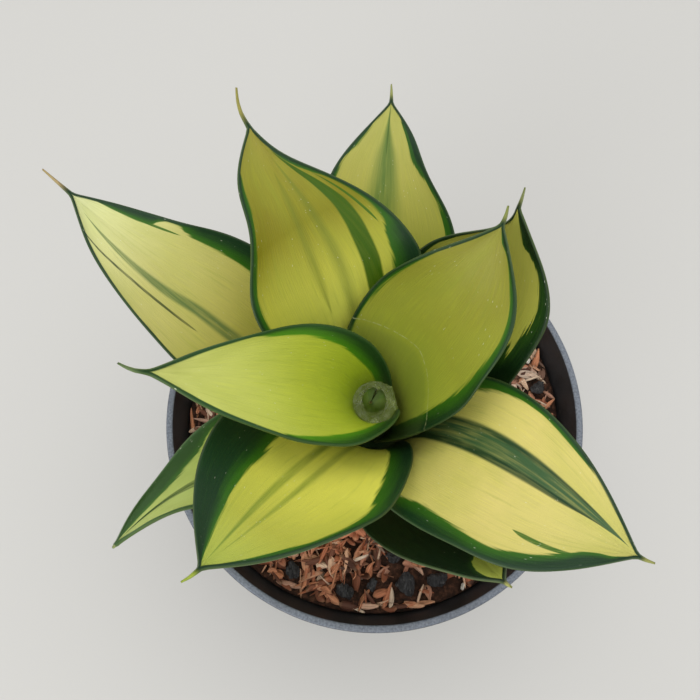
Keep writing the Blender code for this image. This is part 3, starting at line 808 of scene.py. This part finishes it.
def look_9():
    """Almost all dark green, and pale only near the tip."""
    return Look(
        field=[(0, (0.10, 0.12, 0.02)), (0.8, (0.30, 0.36, 0.05)), (1, (0.45, 0.50, 0.10))],
        right=[(0, 0), (0.82, 0.0), (0.88, 0.3), (0.94, 0.6), (1, 0.85)],
        left=[(0, 0), (0.86, 0.0), (0.91, 0.3), (0.96, 0.8), (1, 0.9)],
        dark=(0.006, 0.020, 0.007), bright=(0.018, 0.060, 0.008), spike=(0.40, 0.40, 0.12),
    )


def look_10():
    """Grey green, with a wide right margin and a dark line along the middle. Its margin greens are partly its
    own grey green and partly painted light against the shade it lies in.
    """
    return Look(
        field=[(0, (0.24, 0.40, 0.06)), (0.55, (0.48, 0.62, 0.14)), (0.8, (0.55, 0.66, 0.21)),
               (1, (0.50, 0.58, 0.22))],
        right=[(0, 0.1), (0.5, 0.95), (0.62, 0.85), (0.70, 0.57), (0.79, 0.42), (0.89, 0.25), (0.96, 0.20),
               (1, 0.3)],
        left=[(0, 0.1), (0.5, 0.55), (0.7, 0.80), (0.9, 0.84), (1, 0.9)],
        stripes=[
            Stripe([(0.4, 0.02), (0.96, -0.01)],
                   [(0.2, 0.25), (0.6, 0.12), (0.8, 0.085), (0.95, 0.05), (0.99, 0)],
                   colour=(0.03, 0.08, 0.02), broken=0.5),
        ],
        # Margin greens partly painted lighter against the shade this low leaf lies in.
        dark=(0.052, 0.115, 0.040), bright=(0.070, 0.180, 0.040), spike=(0.30, 0.34, 0.14), ragged=0.09,
    )


def looks():
    """Each leaf's look, from the young leaf outwards."""
    return [young_leaf_look(), look_1(), look_2(), look_3(), look_4(), look_5(), look_6(), look_7(), look_8(),
            look_9(), look_10()]


def green_share(paint, look, share, across, margin, streak, fine):
    """How green the blade is, from 0 in the pale field to 1 in a margin, and how deep in the margin it is."""
    wander = paint.times(paint.minus(streak, 0.5), 2.4 * look.ragged)
    feather = paint.times(paint.minus(fine, 0.5), 0.9 * look.ragged)
    wander = paint.plus(wander, feather)
    to_left = paint.step(across, -0.01, 0.01)
    right_edge = paint.curve(share, look.right)
    left_edge = paint.curve(share, look.left)
    edge = paint.plus(paint.times(left_edge, to_left),
                      paint.times(right_edge, paint.minus(1.0, to_left)))
    reach = paint.minus(paint.size(across), paint.plus(edge, wander))
    wide = paint.step(reach, -0.018, 0.028)
    thin = paint.step(paint.plus(margin, paint.times(wander, 6.0)), 0.5, 1.0, 1.0, 0.0)
    depth = paint.larger(paint.step(reach, 0.0, 0.22), paint.step(margin, 0.4, 1.8, 1.0, 0.0))
    return paint.larger(wide, thin), depth


def striped(paint, colour, look, share, across, streak):
    """Lays the leaf's stripes over its colour."""
    for stripe in look.stripes:
        line = [(x, (y + 1) / 2) for x, y in stripe.middle]
        middle = paint.minus(paint.times(paint.curve(share, line), 2.0), 1.0)
        half = paint.curve(share, stripe.half_width)
        off = paint.size(paint.minus(across, middle))
        wander = paint.times(paint.minus(streak, 0.5), stripe.broken)
        off = paint.plus(off, paint.times(wander, half))
        inside = paint.math("DIVIDE", off, paint.larger(half, 0.0005))
        cover = paint.step(inside, 1.0 + stripe.soft / 2, 1.0 - stripe.soft, 0.0, stripe.strength)
        grain = paint.step(streak, 0.30, 0.62, 1.0 - stripe.broken, 1.0)
        present = paint.step(half, 0.0, 0.01)
        cover = paint.times(paint.times(cover, grain), present)
        colour = paint.mix(cover, colour, stripe.colour)
    return colour


def pale_field(paint, look, share, streak, fine, cloud):
    """The leaf's pale colour along its length, clouded and finely streaked with green."""
    field = paint.ramp(share, look.field)
    field = paint.mix(paint.step(cloud, 0.35, 0.7, 0.0, 0.22), field, (0.30, 0.36, 0.04))
    field = paint.mix(paint.step(fine, 0.35, 0.75, 0.0, 0.32), field, (0.80, 0.78, 0.42), "SOFT_LIGHT")
    return paint.mix(paint.step(streak, 0.52, 0.76, 0.0, 0.24), field, (0.22, 0.30, 0.03))


def ends_and_underside(paint, colour, leaf, look, share, below):
    """Pales the foot, colours the spike, and dulls the underside."""
    colour = paint.mix(paint.step(share, 0.03, 0.14, 0.6, 0.0), colour, (0.32, 0.38, 0.14))
    spike = paint.step(share, 1.002, 1.0 + 0.55 * leaf.spike / leaf.length)
    colour = paint.mix(spike, colour, look.spike)
    under = paint.mix(0.45, colour, (0.17, 0.23, 0.07))
    return paint.mix(below, colour, under)


def specks(paint, colour, blade, offset):
    """Pale water spots, and a few small brown marks."""
    spots = paint.cells(paint.stretch(blade, (0.55, 0.32, 1.0), offset), 1.0)
    chosen = paint.noise(paint.stretch(blade, (0.11, 0.09, 0.0), offset), 1.0, 1.0)
    pale_spot = paint.times(paint.step(spots, 0.06, 0.11, 1.0, 0.0), paint.step(chosen, 0.52, 0.6))
    colour = paint.mix(paint.times(pale_spot, 0.6), colour, (0.74, 0.78, 0.62))
    marks = paint.cells(paint.stretch(blade, (0.16, 0.13, 1.0), (5.0, offset[0], 0.0)), 1.0)
    return paint.mix(paint.step(marks, 0.018, 0.034, 0.6, 0.0), colour, (0.16, 0.12, 0.02))


def waterline(paint, colour, share, across, cloud, scuffs):
    """The thin broken ring that dried water left low on a blade, and the darker skin below it."""
    line = paint.plus(share, paint.step(across, 0.1, -0.75, 0.0, 0.095))
    line = paint.plus(line, paint.times(cloud, 0.02))
    ring = paint.step(paint.size(paint.minus(line, 0.535)), 0.0008, 0.0035, 0.5, 0.0)
    broken = paint.times(ring, paint.step(scuffs, 0.42, 0.6))
    colour = paint.mix(broken, colour, (0.62, 0.66, 0.36))
    return paint.mix(paint.step(line, 0.530, 0.50, 0.0, 0.22), colour, (0.15, 0.21, 0.05))


def leaf_material(leaf, look):
    """A leaf's skin: pale field, stripes, green margins, foot, spike, specks and scuffs, softly glossy."""
    paint = Painter(leaf.name + "_skin")
    share, across, below = paint.split(paint.attribute("where"))
    blade = paint.attribute("blade")
    margin = paint.split(blade)[2]
    offset = (leaf.place * 37.0, 0.0, 0.0)
    streak = paint.noise(paint.stretch(blade, (0.75, 0.045, 0.0), offset), 1.0, 3.0, 0.6)
    fine = paint.noise(paint.stretch(blade, (3.2, 0.10, 0.0), offset), 1.0, 2.0, 0.6)
    cloud = paint.noise(paint.stretch(blade, (0.06, 0.05, 0.0), offset), 1.0, 3.0, 0.55)
    scuffs = paint.noise(paint.stretch(blade, (0.5, 0.9, 0.0), offset), 1.0, 4.0, 0.7)

    colour = pale_field(paint, look, share, streak, fine, cloud)
    colour = striped(paint, colour, look, share, across, streak)
    green, depth = green_share(paint, look, share, across, margin, streak, fine)
    rim = paint.mix(depth, look.bright, look.dark)
    rim = paint.mix(paint.step(fine, 0.45, 0.75, 0.0, 0.22), rim, (0.035, 0.11, 0.02))
    colour = paint.mix(green, colour, rim)
    colour = ends_and_underside(paint, colour, leaf, look, share, below)
    colour = specks(paint, colour, blade, offset)
    scuff = paint.times(paint.step(scuffs, 0.64, 0.76, 0.0, 0.20), green)
    colour = paint.mix(scuff, colour, (0.20, 0.28, 0.20))
    if look.waterline:
        colour = waterline(paint, colour, share, across, cloud, scuffs)

    gloss = paint.plus(paint.step(cloud, 0.3, 0.7, 0.30, 0.42), paint.times(scuff, 0.4))
    veins = paint.bump(fine, 0.10)
    pores = paint.bump(paint.noise(blade, 2.6, 2.0), 0.05, veins)
    paint.set(base_color=colour, roughness=gloss, normal=pores, specular_ior_level=0.24)
    return paint.material


def make_leaves():
    styles = looks()
    for leaf in [rolled_leaf(), *rosette()]:
        make_leaf(leaf, leaf_material(leaf, styles[leaf.place]))
    make_whorl_water(rosette()[0], water_material())


# The pot.

def wall_radius(z):
    """The outside of the tapered wall below the collar."""
    top = RIM_RADIUS - RIM_WIDTH + WALL
    return BASE_RADIUS + (top - BASE_RADIUS) * z / POT_HEIGHT


def inner_radius(z):
    return wall_radius(z) - WALL


def arc(radius, z, size, start, end, steps=6):
    """Points on a round corner about (radius, z), from one angle to another."""
    for i in range(steps + 1):
        angle = math.radians(start + (end - start) * i / steps)
        yield radius + size * math.cos(angle), z + size * math.sin(angle)


def pot_profile():
    """The pot's section as (radius, z) points, from the middle of the underside round to the inner floor."""
    floor_z = CHANNEL_RISE + FLOOR
    collar_z = POT_HEIGHT - COLLAR_HEIGHT
    edge = 0.9
    lip_inner = RIM_RADIUS - RIM_WIDTH
    outside = [(wall_radius(z), z) for z in np.linspace(2.0, collar_z - 1.4, 24)]
    inside = [(inner_radius(z), z) for z in np.linspace(POT_HEIGHT - 2.0, floor_z + 2.4, 24)]
    return [
        (0.0, 0.0),
        *[(r, 0.0) for r in np.linspace(8.0, MIDDLE_RADIUS - 0.4, 5)],
        (MIDDLE_RADIUS + 0.1, 0.3),
        (MIDDLE_RADIUS + 1.0, CHANNEL_RISE - 0.3),
        (MIDDLE_RADIUS + 1.4, CHANNEL_RISE),
        (FOOT_INNER_RADIUS - 0.9, CHANNEL_RISE),
        (FOOT_INNER_RADIUS - 0.5, CHANNEL_RISE - 0.3),
        (FOOT_INNER_RADIUS - 0.1, 0.3),
        (FOOT_INNER_RADIUS + 0.3, 0.0),
        *arc(BASE_RADIUS - 1.1, 1.2, 1.2, -90, -10),
        *outside,
        (wall_radius(collar_z - 1.0), collar_z - 1.0),
        (RIM_RADIUS - 1.0, collar_z - 0.7),
        *arc(RIM_RADIUS - 0.8, collar_z, 0.6, -90, 0, 4),
        *[(RIM_RADIUS - 0.1, z) for z in np.linspace(collar_z + 1.0, POT_HEIGHT - 1.6, 6)],
        *arc(RIM_RADIUS - edge, POT_HEIGHT - edge, edge, 0, 90),
        *arc(lip_inner + 0.7, POT_HEIGHT - 0.7, 0.7, 90, 180),
        *inside,
        (inner_radius(floor_z) - 0.5, floor_z + 0.6),
        (inner_radius(floor_z) - 1.7, floor_z),
        (MIDDLE_RADIUS + 0.2, floor_z),
        (MIDDLE_RADIUS - 0.3, floor_z - 0.3),
        (MIDDLE_RADIUS - 1.4, FLOOR + 0.2),
        (MIDDLE_RADIUS - 1.8, FLOOR),
        (0.0, FLOOR),
    ]


def turned(name, profile, material, steps):
    """A solid of revolution about the Z axis, from (radius, z) points that start and end on the axis."""
    turn = np.linspace(0.0, 2 * np.pi, steps, endpoint=False)
    ring_points = [np.stack([r * np.cos(turn), r * np.sin(turn), np.full(steps, z)], axis=1)
                   for r, z in profile[1:-1]]
    faces = tube_faces(len(ring_points), steps)
    points = np.concatenate([*ring_points, [[0.0, 0.0, profile[0][1]], [0.0, 0.0, profile[-1][1]]]])
    first = len(points) - 2
    last_ring = (len(ring_points) - 1) * steps
    for i in range(steps):
        j = (i + 1) % steps
        faces.append((first, j, i))
        faces.append((first + 1, last_ring + i, last_ring + j))
    obj = mesh_object(name, points, faces, material)
    point_faces_out(obj)
    return obj


def drum(name, x, y, low, high, radius, material, sides=40):
    """A helper cylinder for cutting a drain hole."""
    loops = []
    for z in (low, high):
        for i in range(sides):
            angle = 2 * math.pi * i / sides
            loops.append((x + radius * math.cos(angle), y + radius * math.sin(angle), z))
    faces = tube_faces(2, sides)
    faces.append(tuple(range(sides)))
    faces.append(tuple(range(2 * sides - 1, sides - 1, -1)))
    obj = mesh_object(name, loops, faces, material)
    point_faces_out(obj)
    return obj


def notch_block(name, angle, radius, material):
    """A helper block for cutting a water notch through the foot ring."""
    corners = [(-5.5, -1), (5.5, -1), (5.5, 1), (-5.5, 1)]
    points = []
    for z in (-NOTCH_HEIGHT, NOTCH_HEIGHT):
        for along, side in corners:
            out = radius + along
            across = side * NOTCH_WIDTH / 2
            points.append((out * math.cos(angle) - across * math.sin(angle),
                           out * math.sin(angle) + across * math.cos(angle), z))
    obj = mesh_object(name, points, [*tube_faces(2, 4), (0, 1, 2, 3), (7, 6, 5, 4)], material)
    point_faces_out(obj)
    return obj


def cut_away(obj, cutters):
    """Cuts the helpers out of the object for good, and removes them."""
    for cutter in cutters:
        modifier = obj.modifiers.new(cutter.name, "BOOLEAN")
        modifier.operation = "DIFFERENCE"
        modifier.object = cutter
    graph = bpy.context.evaluated_depsgraph_get()
    cut = bpy.data.meshes.new_from_object(obj.evaluated_get(graph))
    obj.modifiers.clear()
    obj.data = cut
    for cutter in cutters:
        bpy.data.objects.remove(cutter, do_unlink=True)


def pot_material():
    """Black moulded plastic, worn blue-grey and dusty on the lip that the weather reaches."""
    paint = Painter("weathered_black_plastic")
    spot = paint.millimetres()
    height = paint.split(spot)[2]
    coarse = paint.noise(spot, 0.09, 4.0, 0.6)
    fine = paint.noise(spot, 1.4, 4.0, 0.65)
    grain = paint.noise(spot, 5.0, 2.0)
    body = paint.mix(paint.step(coarse, 0.3, 0.7), (0.010, 0.010, 0.011), (0.018, 0.018, 0.021))
    lip = paint.times(paint.step(height, POT_HEIGHT - 1.6, POT_HEIGHT - 0.3),
                     paint.step(paint.facing_up(), 0.25, 0.8))
    worn = paint.mix(paint.step(fine, 0.3, 0.72), (0.085, 0.105, 0.140), (0.210, 0.235, 0.280))
    colour = paint.mix(paint.times(lip, paint.step(coarse, 0.2, 0.6, 0.75, 1.0)), body, worn)
    dust = paint.step(fine, 0.58, 0.75, 0.0, 0.30)
    dust = paint.times(dust, paint.step(height, 60.0, POT_HEIGHT, 0.4, 1.0))
    colour = paint.mix(dust, colour, (0.16, 0.15, 0.13))
    scratch = paint.noise(paint.stretch(spot, (0.35, 0.35, 6.0)), 1.0, 3.0, 0.7)
    colour = paint.mix(paint.step(scratch, 0.66, 0.72, 0.0, 0.35), colour, (0.10, 0.105, 0.11))
    roughness = paint.step(coarse, 0.3, 0.7, 0.46, 0.62)
    relief_now = paint.bump(scratch, 0.12, paint.bump(grain, 0.05))
    paint.set(base_color=colour, roughness=roughness, normal=relief_now, specular_ior_level=0.45)
    return paint.material


def make_pot():
    plastic = pot_material()
    pot = turned("nursery_pot", pot_profile(), plastic, POT_STEPS)
    cutters = []
    drain_ring = (MIDDLE_RADIUS + FOOT_INNER_RADIUS) / 2
    for i in range(DRAIN_COUNT):
        angle = math.pi / DRAIN_COUNT + 2 * math.pi * i / DRAIN_COUNT
        x = drain_ring * math.cos(angle)
        y = drain_ring * math.sin(angle)
        cutters.append(drum(f"drain_{i}", x, y, 0.5, CHANNEL_RISE + 2 * FLOOR, DRAIN_RADIUS, plastic))
    for i in range(NOTCH_COUNT):
        angle = 2 * math.pi * i / NOTCH_COUNT
        cutters.append(notch_block(f"notch_{i}", angle, (FOOT_INNER_RADIUS + BASE_RADIUS) / 2, plastic))
    cut_away(pot, cutters)
    pot.data.set_sharp_from_angle(angle=math.radians(40))
    place(pot, "pot", "pot_plastic")


# The mulch: a bed with husks strewn on it. The bed is dark, partly broken husk and partly painted shade in
# the gaps between the husks.

def mulch_height(x, y):
    """The uneven top of the mulch, as the CAD model has it."""
    bumps = noise.noise(Vector((x / 17.0, y / 17.0, 3.1))) * 1.6
    small = noise.noise(Vector((x / 6.0, y / 6.0, 7.7))) * 0.8
    return MULCH_TOP + bumps + small


def crumbs(x, y):
    """Fine unevenness of the bed itself."""
    return 0.45 * noise.noise(Vector((x / 2.1, y / 2.1, 1.3))) + 0.25 * noise.noise(Vector((x, y, 9.1)))


def make_bed(material):
    """The bed of fine broken husk: a closed ring round the plant, its top close under the CAD model's."""
    steps = 200
    rings = 36
    bottom = MULCH_TOP - MULCH_DEPTH
    outer_top = inner_radius(MULCH_TOP) - 0.6
    outer_bottom = inner_radius(bottom) - 0.3
    hole_top = 24.0
    hole_bottom = 20.4
    points = []

    def ring(share, inner, outer, z=None):
        for i in range(steps):
            angle = 2 * math.pi * i / steps
            x = (PLANT_X + inner * math.cos(angle)) * (1 - share) + outer * math.cos(angle) * share
            y = (PLANT_Y + inner * math.sin(angle)) * (1 - share) + outer * math.sin(angle) * share
            points.append((x, y, mulch_height(x, y) + crumbs(x, y) - 0.3 if z is None else z))

    ring(0.0, hole_bottom, outer_bottom, bottom)
    for i in range(rings + 1):
        ring(i / rings, hole_top, outer_top)
    ring(1.0, hole_bottom, outer_bottom, bottom)
    obj = mesh_object("mulch_bed", points, tube_faces(rings + 3, steps, closed_rings=True), material)
    point_faces_out(obj)
    place(obj, "husk_mulch", "husk")


def husk_shell(length, width, cup, bend, turn, skew):
    """One husk flake: a thin twisted strip, as rings round its section, with where each point lies on it."""
    along = np.linspace(-1.0, 1.0, HUSK_ROWS)
    outline = np.maximum(1 - np.abs(along + skew * (1 - along ** 2)) ** 2.4, 0.10) ** 0.6
    loops = []
    where = []
    for u, full in zip(along, outline):
        for face, places in ((1, (-1.0, 0.0, 1.0)), (-1, (1.0, 0.0, -1.0))):
            for w in places:
                rise = cup * (w * w - 1.0) * full + bend * (1 - u * u) + face * HUSK_THICKNESS / 2
                side = w * full * width / 2
                angle = turn * u
                loops.append((u * length / 2, side * math.cos(angle) + rise * math.sin(angle),
                              side * math.sin(angle) - rise * math.cos(angle)))
                where.append((u, w, 0.0))
    return np.array(loops), np.array(where)


def husk_faces():
    faces = tube_faces(HUSK_ROWS, 6)
    for start in (0, (HUSK_ROWS - 1) * 6):
        faces.append((start, start + 1, start + 4, start + 5))
        faces.append((start + 1, start + 2, start + 3, start + 4))
    return np.array(faces)


class Pile:
    """The height of what lies on the bed, on a fine grid, so that each husk comes to rest on those below."""

    CELL = 0.7

    def __init__(self):
        self.count = int(2 * RIM_RADIUS / self.CELL) + 2
        self.top = np.zeros((self.count, self.count))
        for i in range(self.count):
            for j in range(self.count):
                x = i * self.CELL - RIM_RADIUS
                y = j * self.CELL - RIM_RADIUS
                self.top[i, j] = mulch_height(x, y) - 0.2

    def cells(self, points):
        index = np.rint((points[:, :2] + RIM_RADIUS) / self.CELL).astype(int)
        return index[:, 0], index[:, 1]

    def drop(self, points):
        """Lowers the points on to the pile and adds them to it, unless they would stand too high."""
        i, j = self.cells(points)
        points[:, 2] += np.quantile(self.top[i, j] - points[:, 2], 0.7)
        if points[:, 2].max() > MULCH_TOP + HUSK_REACH:
            return False
        self.top[i, j] = np.maximum(self.top[i, j], points[:, 2])
        return True


def turned_points(points, yaw, pitch, roll):
    """The points turned by angles in radians."""
    turn = Matrix.Rotation(yaw, 3, "Z") @ Matrix.Rotation(pitch, 3, "Y") @ Matrix.Rotation(roll, 3, "X")
    return points @ np.array(turn).T


def strew_spot(draw):
    """A random place on the mulch, clear of the plant and the pot's wall."""
    reach = inner_radius(MULCH_TOP) - 1.5
    while True:
        x = draw.uniform(-reach, reach)
        y = draw.uniform(-reach, reach)
        if math.hypot(x, y) < reach and math.hypot(x - PLANT_X, y - PLANT_Y) > PLANT_CLEARANCE:
            return x, y


def lump_spots():
    """Where the loose lumps lie, and how far each one reaches."""
    spots = []
    for name in sorted(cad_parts):
        if name.startswith(("charcoal", "grit")):
            low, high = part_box(name)
            middle = (low + high) / 2 / MM
            spots.append((middle.x, middle.y, max(high.x - low.x, high.y - low.y) / 2 / MM))
    return spots


def random_husk(draw):
    """One flake at a random place, turned at random: the place, its points and where each lies on it."""
    x, y = strew_spot(draw)
    length = draw.uniform(*HUSK_LENGTH)
    width = draw.uniform(*NARROW_HUSK) if draw.random() < NARROW_SHARE else draw.uniform(*BROAD_HUSK)
    cup = draw.uniform(0.2, 0.45) * width
    bend = draw.gauss(0.4, 0.7)
    twist = draw.gauss(0, 0.7)
    skew = draw.uniform(-0.45, 0.45)
    shell, spot = husk_shell(length, width, cup, bend, twist, skew)
    if draw.random() < OVERTURNED_SHARE:
        shell[:, 2] *= -1
        shell[:, 1] *= -1
    yaw = draw.uniform(0, 2 * math.pi)
    pitch = math.radians(draw.gauss(0, HUSK_PITCH))
    roll = math.radians(draw.gauss(0, HUSK_ROLL))
    return x, y, turned_points(shell, yaw, pitch, roll) + (x, y, 0.0), spot


def lies_clear(x, y, shell, lumps):
    """Whether a flake stays clear of the loose lumps and of the pot's wall."""
    if any(math.hypot(x - lx, y - ly) < reach + LUMP_CLEARANCE for lx, ly, reach in lumps):
        return False
    return np.hypot(shell[:, 0], shell[:, 1]).max() <= inner_radius(MULCH_TOP) - WALL_CLEARANCE


def make_husks(material):
    """The loose flakes, strewn one by one on to the pile. They are one piece."""
    draw = random.Random(HUSK_SEED)
    pile = Pile()
    lumps = lump_spots()
    corners = husk_faces()
    points, faces, where, kinds = [], [], [], []
    while len(points) < HUSK_COUNT:
        x, y, shell, spot = random_husk(draw)
        if not lies_clear(x, y, shell, lumps) or not pile.drop(shell):
            continue
        faces.append(corners + len(points) * len(shell))
        where.append(spot + (0, 0, len(points) * 3.7))
        kinds.append(np.tile((draw.random(), draw.random(), draw.random()), (len(shell), 1)))
        points.append(shell)
    obj = mesh_object("rice_husks", np.concatenate(points), np.concatenate(faces).tolist(), material,
                      {"husk": np.concatenate(where), "kind": np.concatenate(kinds)})
    point_faces_out(obj)
    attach(obj, BODY)


def bed_material():
    paint = Painter("husk_bed_and_painted_gap_shade")
    spot = paint.millimetres()
    coarse = paint.noise(spot, 0.5, 4.0, 0.65)
    fine = paint.noise(spot, 2.4, 4.0, 0.7)
    # The bed's dark browns are partly broken husk and partly painted shade in the gaps between the husks.
    colour = paint.ramp(coarse, [(0.3, (0.010, 0.007, 0.005)), (0.5, (0.040, 0.018, 0.011)),
                                 (0.7, (0.12, 0.052, 0.030))])
    colour = paint.mix(paint.step(fine, 0.55, 0.8, 0.0, 0.6), colour, (0.24, 0.12, 0.07))
    paint.set(base_color=colour, roughness=0.92, normal=paint.bump(fine, 0.5), specular_ior_level=0.25)
    return paint.material


def husk_material():
    """Red-brown rice husk, each one with its own tint, ribbed along, and paler towards +X."""
    paint = Painter("red_brown_husk")
    husk = paint.attribute("husk")
    tint, age, _ = paint.split(paint.attribute("kind"))
    spot = paint.millimetres()
    east = paint.step(paint.split(spot)[0], 20.0, 60.0)
    colour = paint.ramp(tint, [(0.0, (0.060, 0.026, 0.018)), (0.18, (0.17, 0.060, 0.032)),
                               (0.45, (0.50, 0.165, 0.080)), (0.75, (0.68, 0.29, 0.15)),
                               (0.9, (0.76, 0.46, 0.29)), (1.0, (0.80, 0.65, 0.50))])
    pale = paint.step(paint.plus(age, paint.times(east, 0.35)), 0.80, 1.15, 0.0, 0.75)
    colour = paint.mix(pale, colour, (0.74, 0.62, 0.50))
    ribs = paint.noise(paint.stretch(husk, (0.9, 5.0, 1.0)), 1.0, 3.0, 0.6)
    colour = paint.mix(paint.step(ribs, 0.38, 0.7, 0.0, 0.55), colour, (0.12, 0.045, 0.024))
    ends = paint.step(paint.size(paint.split(husk)[0]), 0.6, 1.0, 0.0, 0.22)
    colour = paint.mix(ends, colour, (0.62, 0.38, 0.22))
    paint.set(base_color=colour, roughness=0.68, normal=paint.bump(ribs, 0.18), specular_ior_level=0.35)
    return paint.material


# Loose lumps: charcoal and grit, from their CAD solids.

def broken_mesh(node, depth, grooves, seed):
    """The CAD lump's points and faces, finely divided, and then roughened along its normals."""
    builder = bmesh.new()
    builder.from_mesh(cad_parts[node].data)
    bmesh.ops.remove_doubles(builder, verts=builder.verts, dist=0.00001)
    for _ in range(LUMP_CUTS):
        bmesh.ops.subdivide_edges(builder, edges=builder.edges, cuts=1, use_grid_fill=True)
        bmesh.ops.smooth_vert(builder, verts=builder.verts, factor=0.22, use_axis_x=True, use_axis_y=True,
                              use_axis_z=True)
    builder.normal_update()
    moves = []
    for vert in builder.verts:
        at = vert.co / MM
        rough = noise.noise(at * 0.8 + Vector((seed, 0, 0)))
        rough += 0.5 * noise.noise(at * 2.3 + Vector((0, seed, 0)))
        ring = abs(math.sin(at.x * grooves + 1.4 * noise.noise(at * 0.4)))
        moves.append(vert.normal * (rough * depth - (1 - ring) ** 3 * depth * 1.3) * MM)
    for vert, move in zip(builder.verts, moves):
        vert.co += move
    return builder


def make_lump(node, name, material, slot, depth, grooves, seed):
    builder = broken_mesh(node, depth, grooves, seed)
    mesh = bpy.data.meshes.new(name)
    bmesh.ops.recalc_face_normals(builder, faces=builder.faces)
    builder.to_mesh(mesh)
    builder.free()
    place(smooth_object(name, mesh, material), node, slot)


def charcoal_material():
    paint = Painter("charred_wood")
    spot = paint.millimetres()
    grain = paint.noise(paint.stretch(spot, (2.4, 0.5, 0.5)), 1.0, 4.0, 0.65)
    ash = paint.noise(spot, 0.7, 3.0, 0.6)
    colour = paint.mix(paint.step(grain, 0.35, 0.7), (0.006, 0.006, 0.007), (0.045, 0.045, 0.048))
    colour = paint.mix(paint.step(ash, 0.56, 0.75, 0.0, 0.5), colour, (0.16, 0.15, 0.145))
    roughness = paint.step(grain, 0.3, 0.7, 0.55, 0.9)
    paint.set(base_color=colour, roughness=roughness, normal=paint.bump(grain, 0.4), specular_ior_level=0.4)
    return paint.material


def grit_material():
    paint = Painter("pale_pumice")
    spot = paint.millimetres()
    pits = paint.cells(spot, 1.6)
    cloud = paint.noise(spot, 0.9, 3.0)
    colour = paint.mix(cloud, (0.78, 0.75, 0.68), (0.58, 0.54, 0.47))
    colour = paint.mix(paint.step(pits, 0.1, 0.3, 0.45, 0.0), colour, (0.30, 0.26, 0.21))
    paint.set(base_color=colour, roughness=0.9, normal=paint.bump(pits, 0.35), specular_ior_level=0.3)
    return paint.material


def make_lumps():
    charcoal = charcoal_material()
    grit = grit_material()
    for number in range(1, CHARCOAL_COUNT + 1):
        make_lump(f"charcoal_lump_{number}", f"charcoal_{number}", charcoal, "charcoal", 0.34, 1.9, number)
    for number in range(1, GRIT_COUNT + 1):
        make_lump(f"grit_{number}", f"grit_stone_{number}", grit, "grit", 0.16, 0.7, 20 + number)


# The crown and the potting mix keep their CAD solids.

def crown_material():
    """Tan rootstock, green at its top where the leaves grow from it."""
    paint = Painter("pale_rootstock")
    spot = paint.millimetres()
    height = paint.split(spot)[2]
    rings = paint.noise(paint.stretch(spot, (0.12, 0.12, 1.3)), 1.0, 4.0, 0.6)
    colour = paint.mix(paint.step(height, 106, 115), (0.28, 0.18, 0.09), (0.05, 0.12, 0.03))
    colour = paint.mix(paint.step(rings, 0.4, 0.7, 0.0, 0.4), colour, (0.03, 0.07, 0.02))
    paint.set(base_color=colour, roughness=0.7, normal=paint.bump(rings, 0.4))
    return paint.material


def soil_material():
    paint = Painter("dark_potting_mix_crumb")
    spot = paint.millimetres()
    crumb = paint.cells(spot, 0.55)
    fine = paint.noise(spot, 1.9, 4.0, 0.7)
    colour = paint.mix(fine, (0.012, 0.008, 0.005), (0.075, 0.045, 0.028))
    colour = paint.mix(paint.step(crumb, 0.0, 0.25, 0.4, 0.0), colour, (0.16, 0.13, 0.10))
    paint.set(base_color=colour, roughness=0.95, normal=paint.bump(fine, 0.7, paint.bump(crumb, 0.8)))
    return paint.material


def finish_hidden_nodes():
    for node, material in (("crown", crown_material()), ("potting_mix", soil_material())):
        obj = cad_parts[node]
        obj.data.materials.clear()
        obj.data.materials.append(material)


# The stage: floor, light and camera.

def make_floor():
    paint = Painter("pale_floor")
    paint.set(base_color=(0.56, 0.56, 0.55), roughness=0.85, specular_ior_level=0.2)
    corners = [(x * FLOOR_SIZE, y * FLOOR_SIZE, 0) for x, y in ((-1, -1), (1, -1), (1, 1), (-1, 1))]
    floor = mesh_object("studio_floor", corners, [(0, 1, 2, 3)], paint.material)


def add_softbox(name, at, size, energy):
    """A round area light that faces the plant."""
    light = bpy.data.lights.new(name, "AREA")
    light.shape = "DISK"
    light.size = size
    light.energy = energy
    light.color = (1.0, 0.985, 0.96)
    softbox = bpy.data.objects.new(name, light)
    softbox.location = at
    softbox.rotation_euler = (Vector(at) - Vector((0.0, 0.0, 0.12))).to_track_quat("Z", "Y").to_euler()
    bpy.context.scene.collection.objects.link(softbox)


def make_light():
    world = bpy.data.worlds.new("soft_room")
    world.use_nodes = True
    background = world.node_tree.nodes["Background"]
    background.inputs["Color"].default_value = (1.0, 0.99, 0.965, 1.0)
    background.inputs["Strength"].default_value = 0.80
    bpy.context.scene.world = world
    add_softbox("softbox", (0.12, 0.16, 1.35), 1.6, 9.0)
    add_softbox("front_fill", (-0.75, -1.15, 0.50), 1.2, 9.0)


def make_camera():
    data = bpy.data.cameras.new("camera")
    data.lens = CAMERA_LENS
    data.sensor_width = CAMERA_SENSOR
    data.clip_start = 0.01
    tilt = Matrix.Rotation(math.radians(CAMERA_TILT), 4, "X")
    roll = Matrix.Rotation(math.radians(CAMERA_ROLL), 4, "Z")
    camera = bpy.data.objects.new("camera", data)
    camera.matrix_world = Matrix.Translation(Vector(CAMERA_PLACE) * MM) @ (tilt @ roll)
    bpy.context.scene.collection.objects.link(camera)
    bpy.context.scene.camera = camera


make_camera()
make_light()
make_floor()
bpy.context.scene.view_settings.view_transform = "Standard"
make_pot()
make_bed(bed_material())
make_husks(husk_material())
make_lumps()
make_leaves()
finish_hidden_nodes()
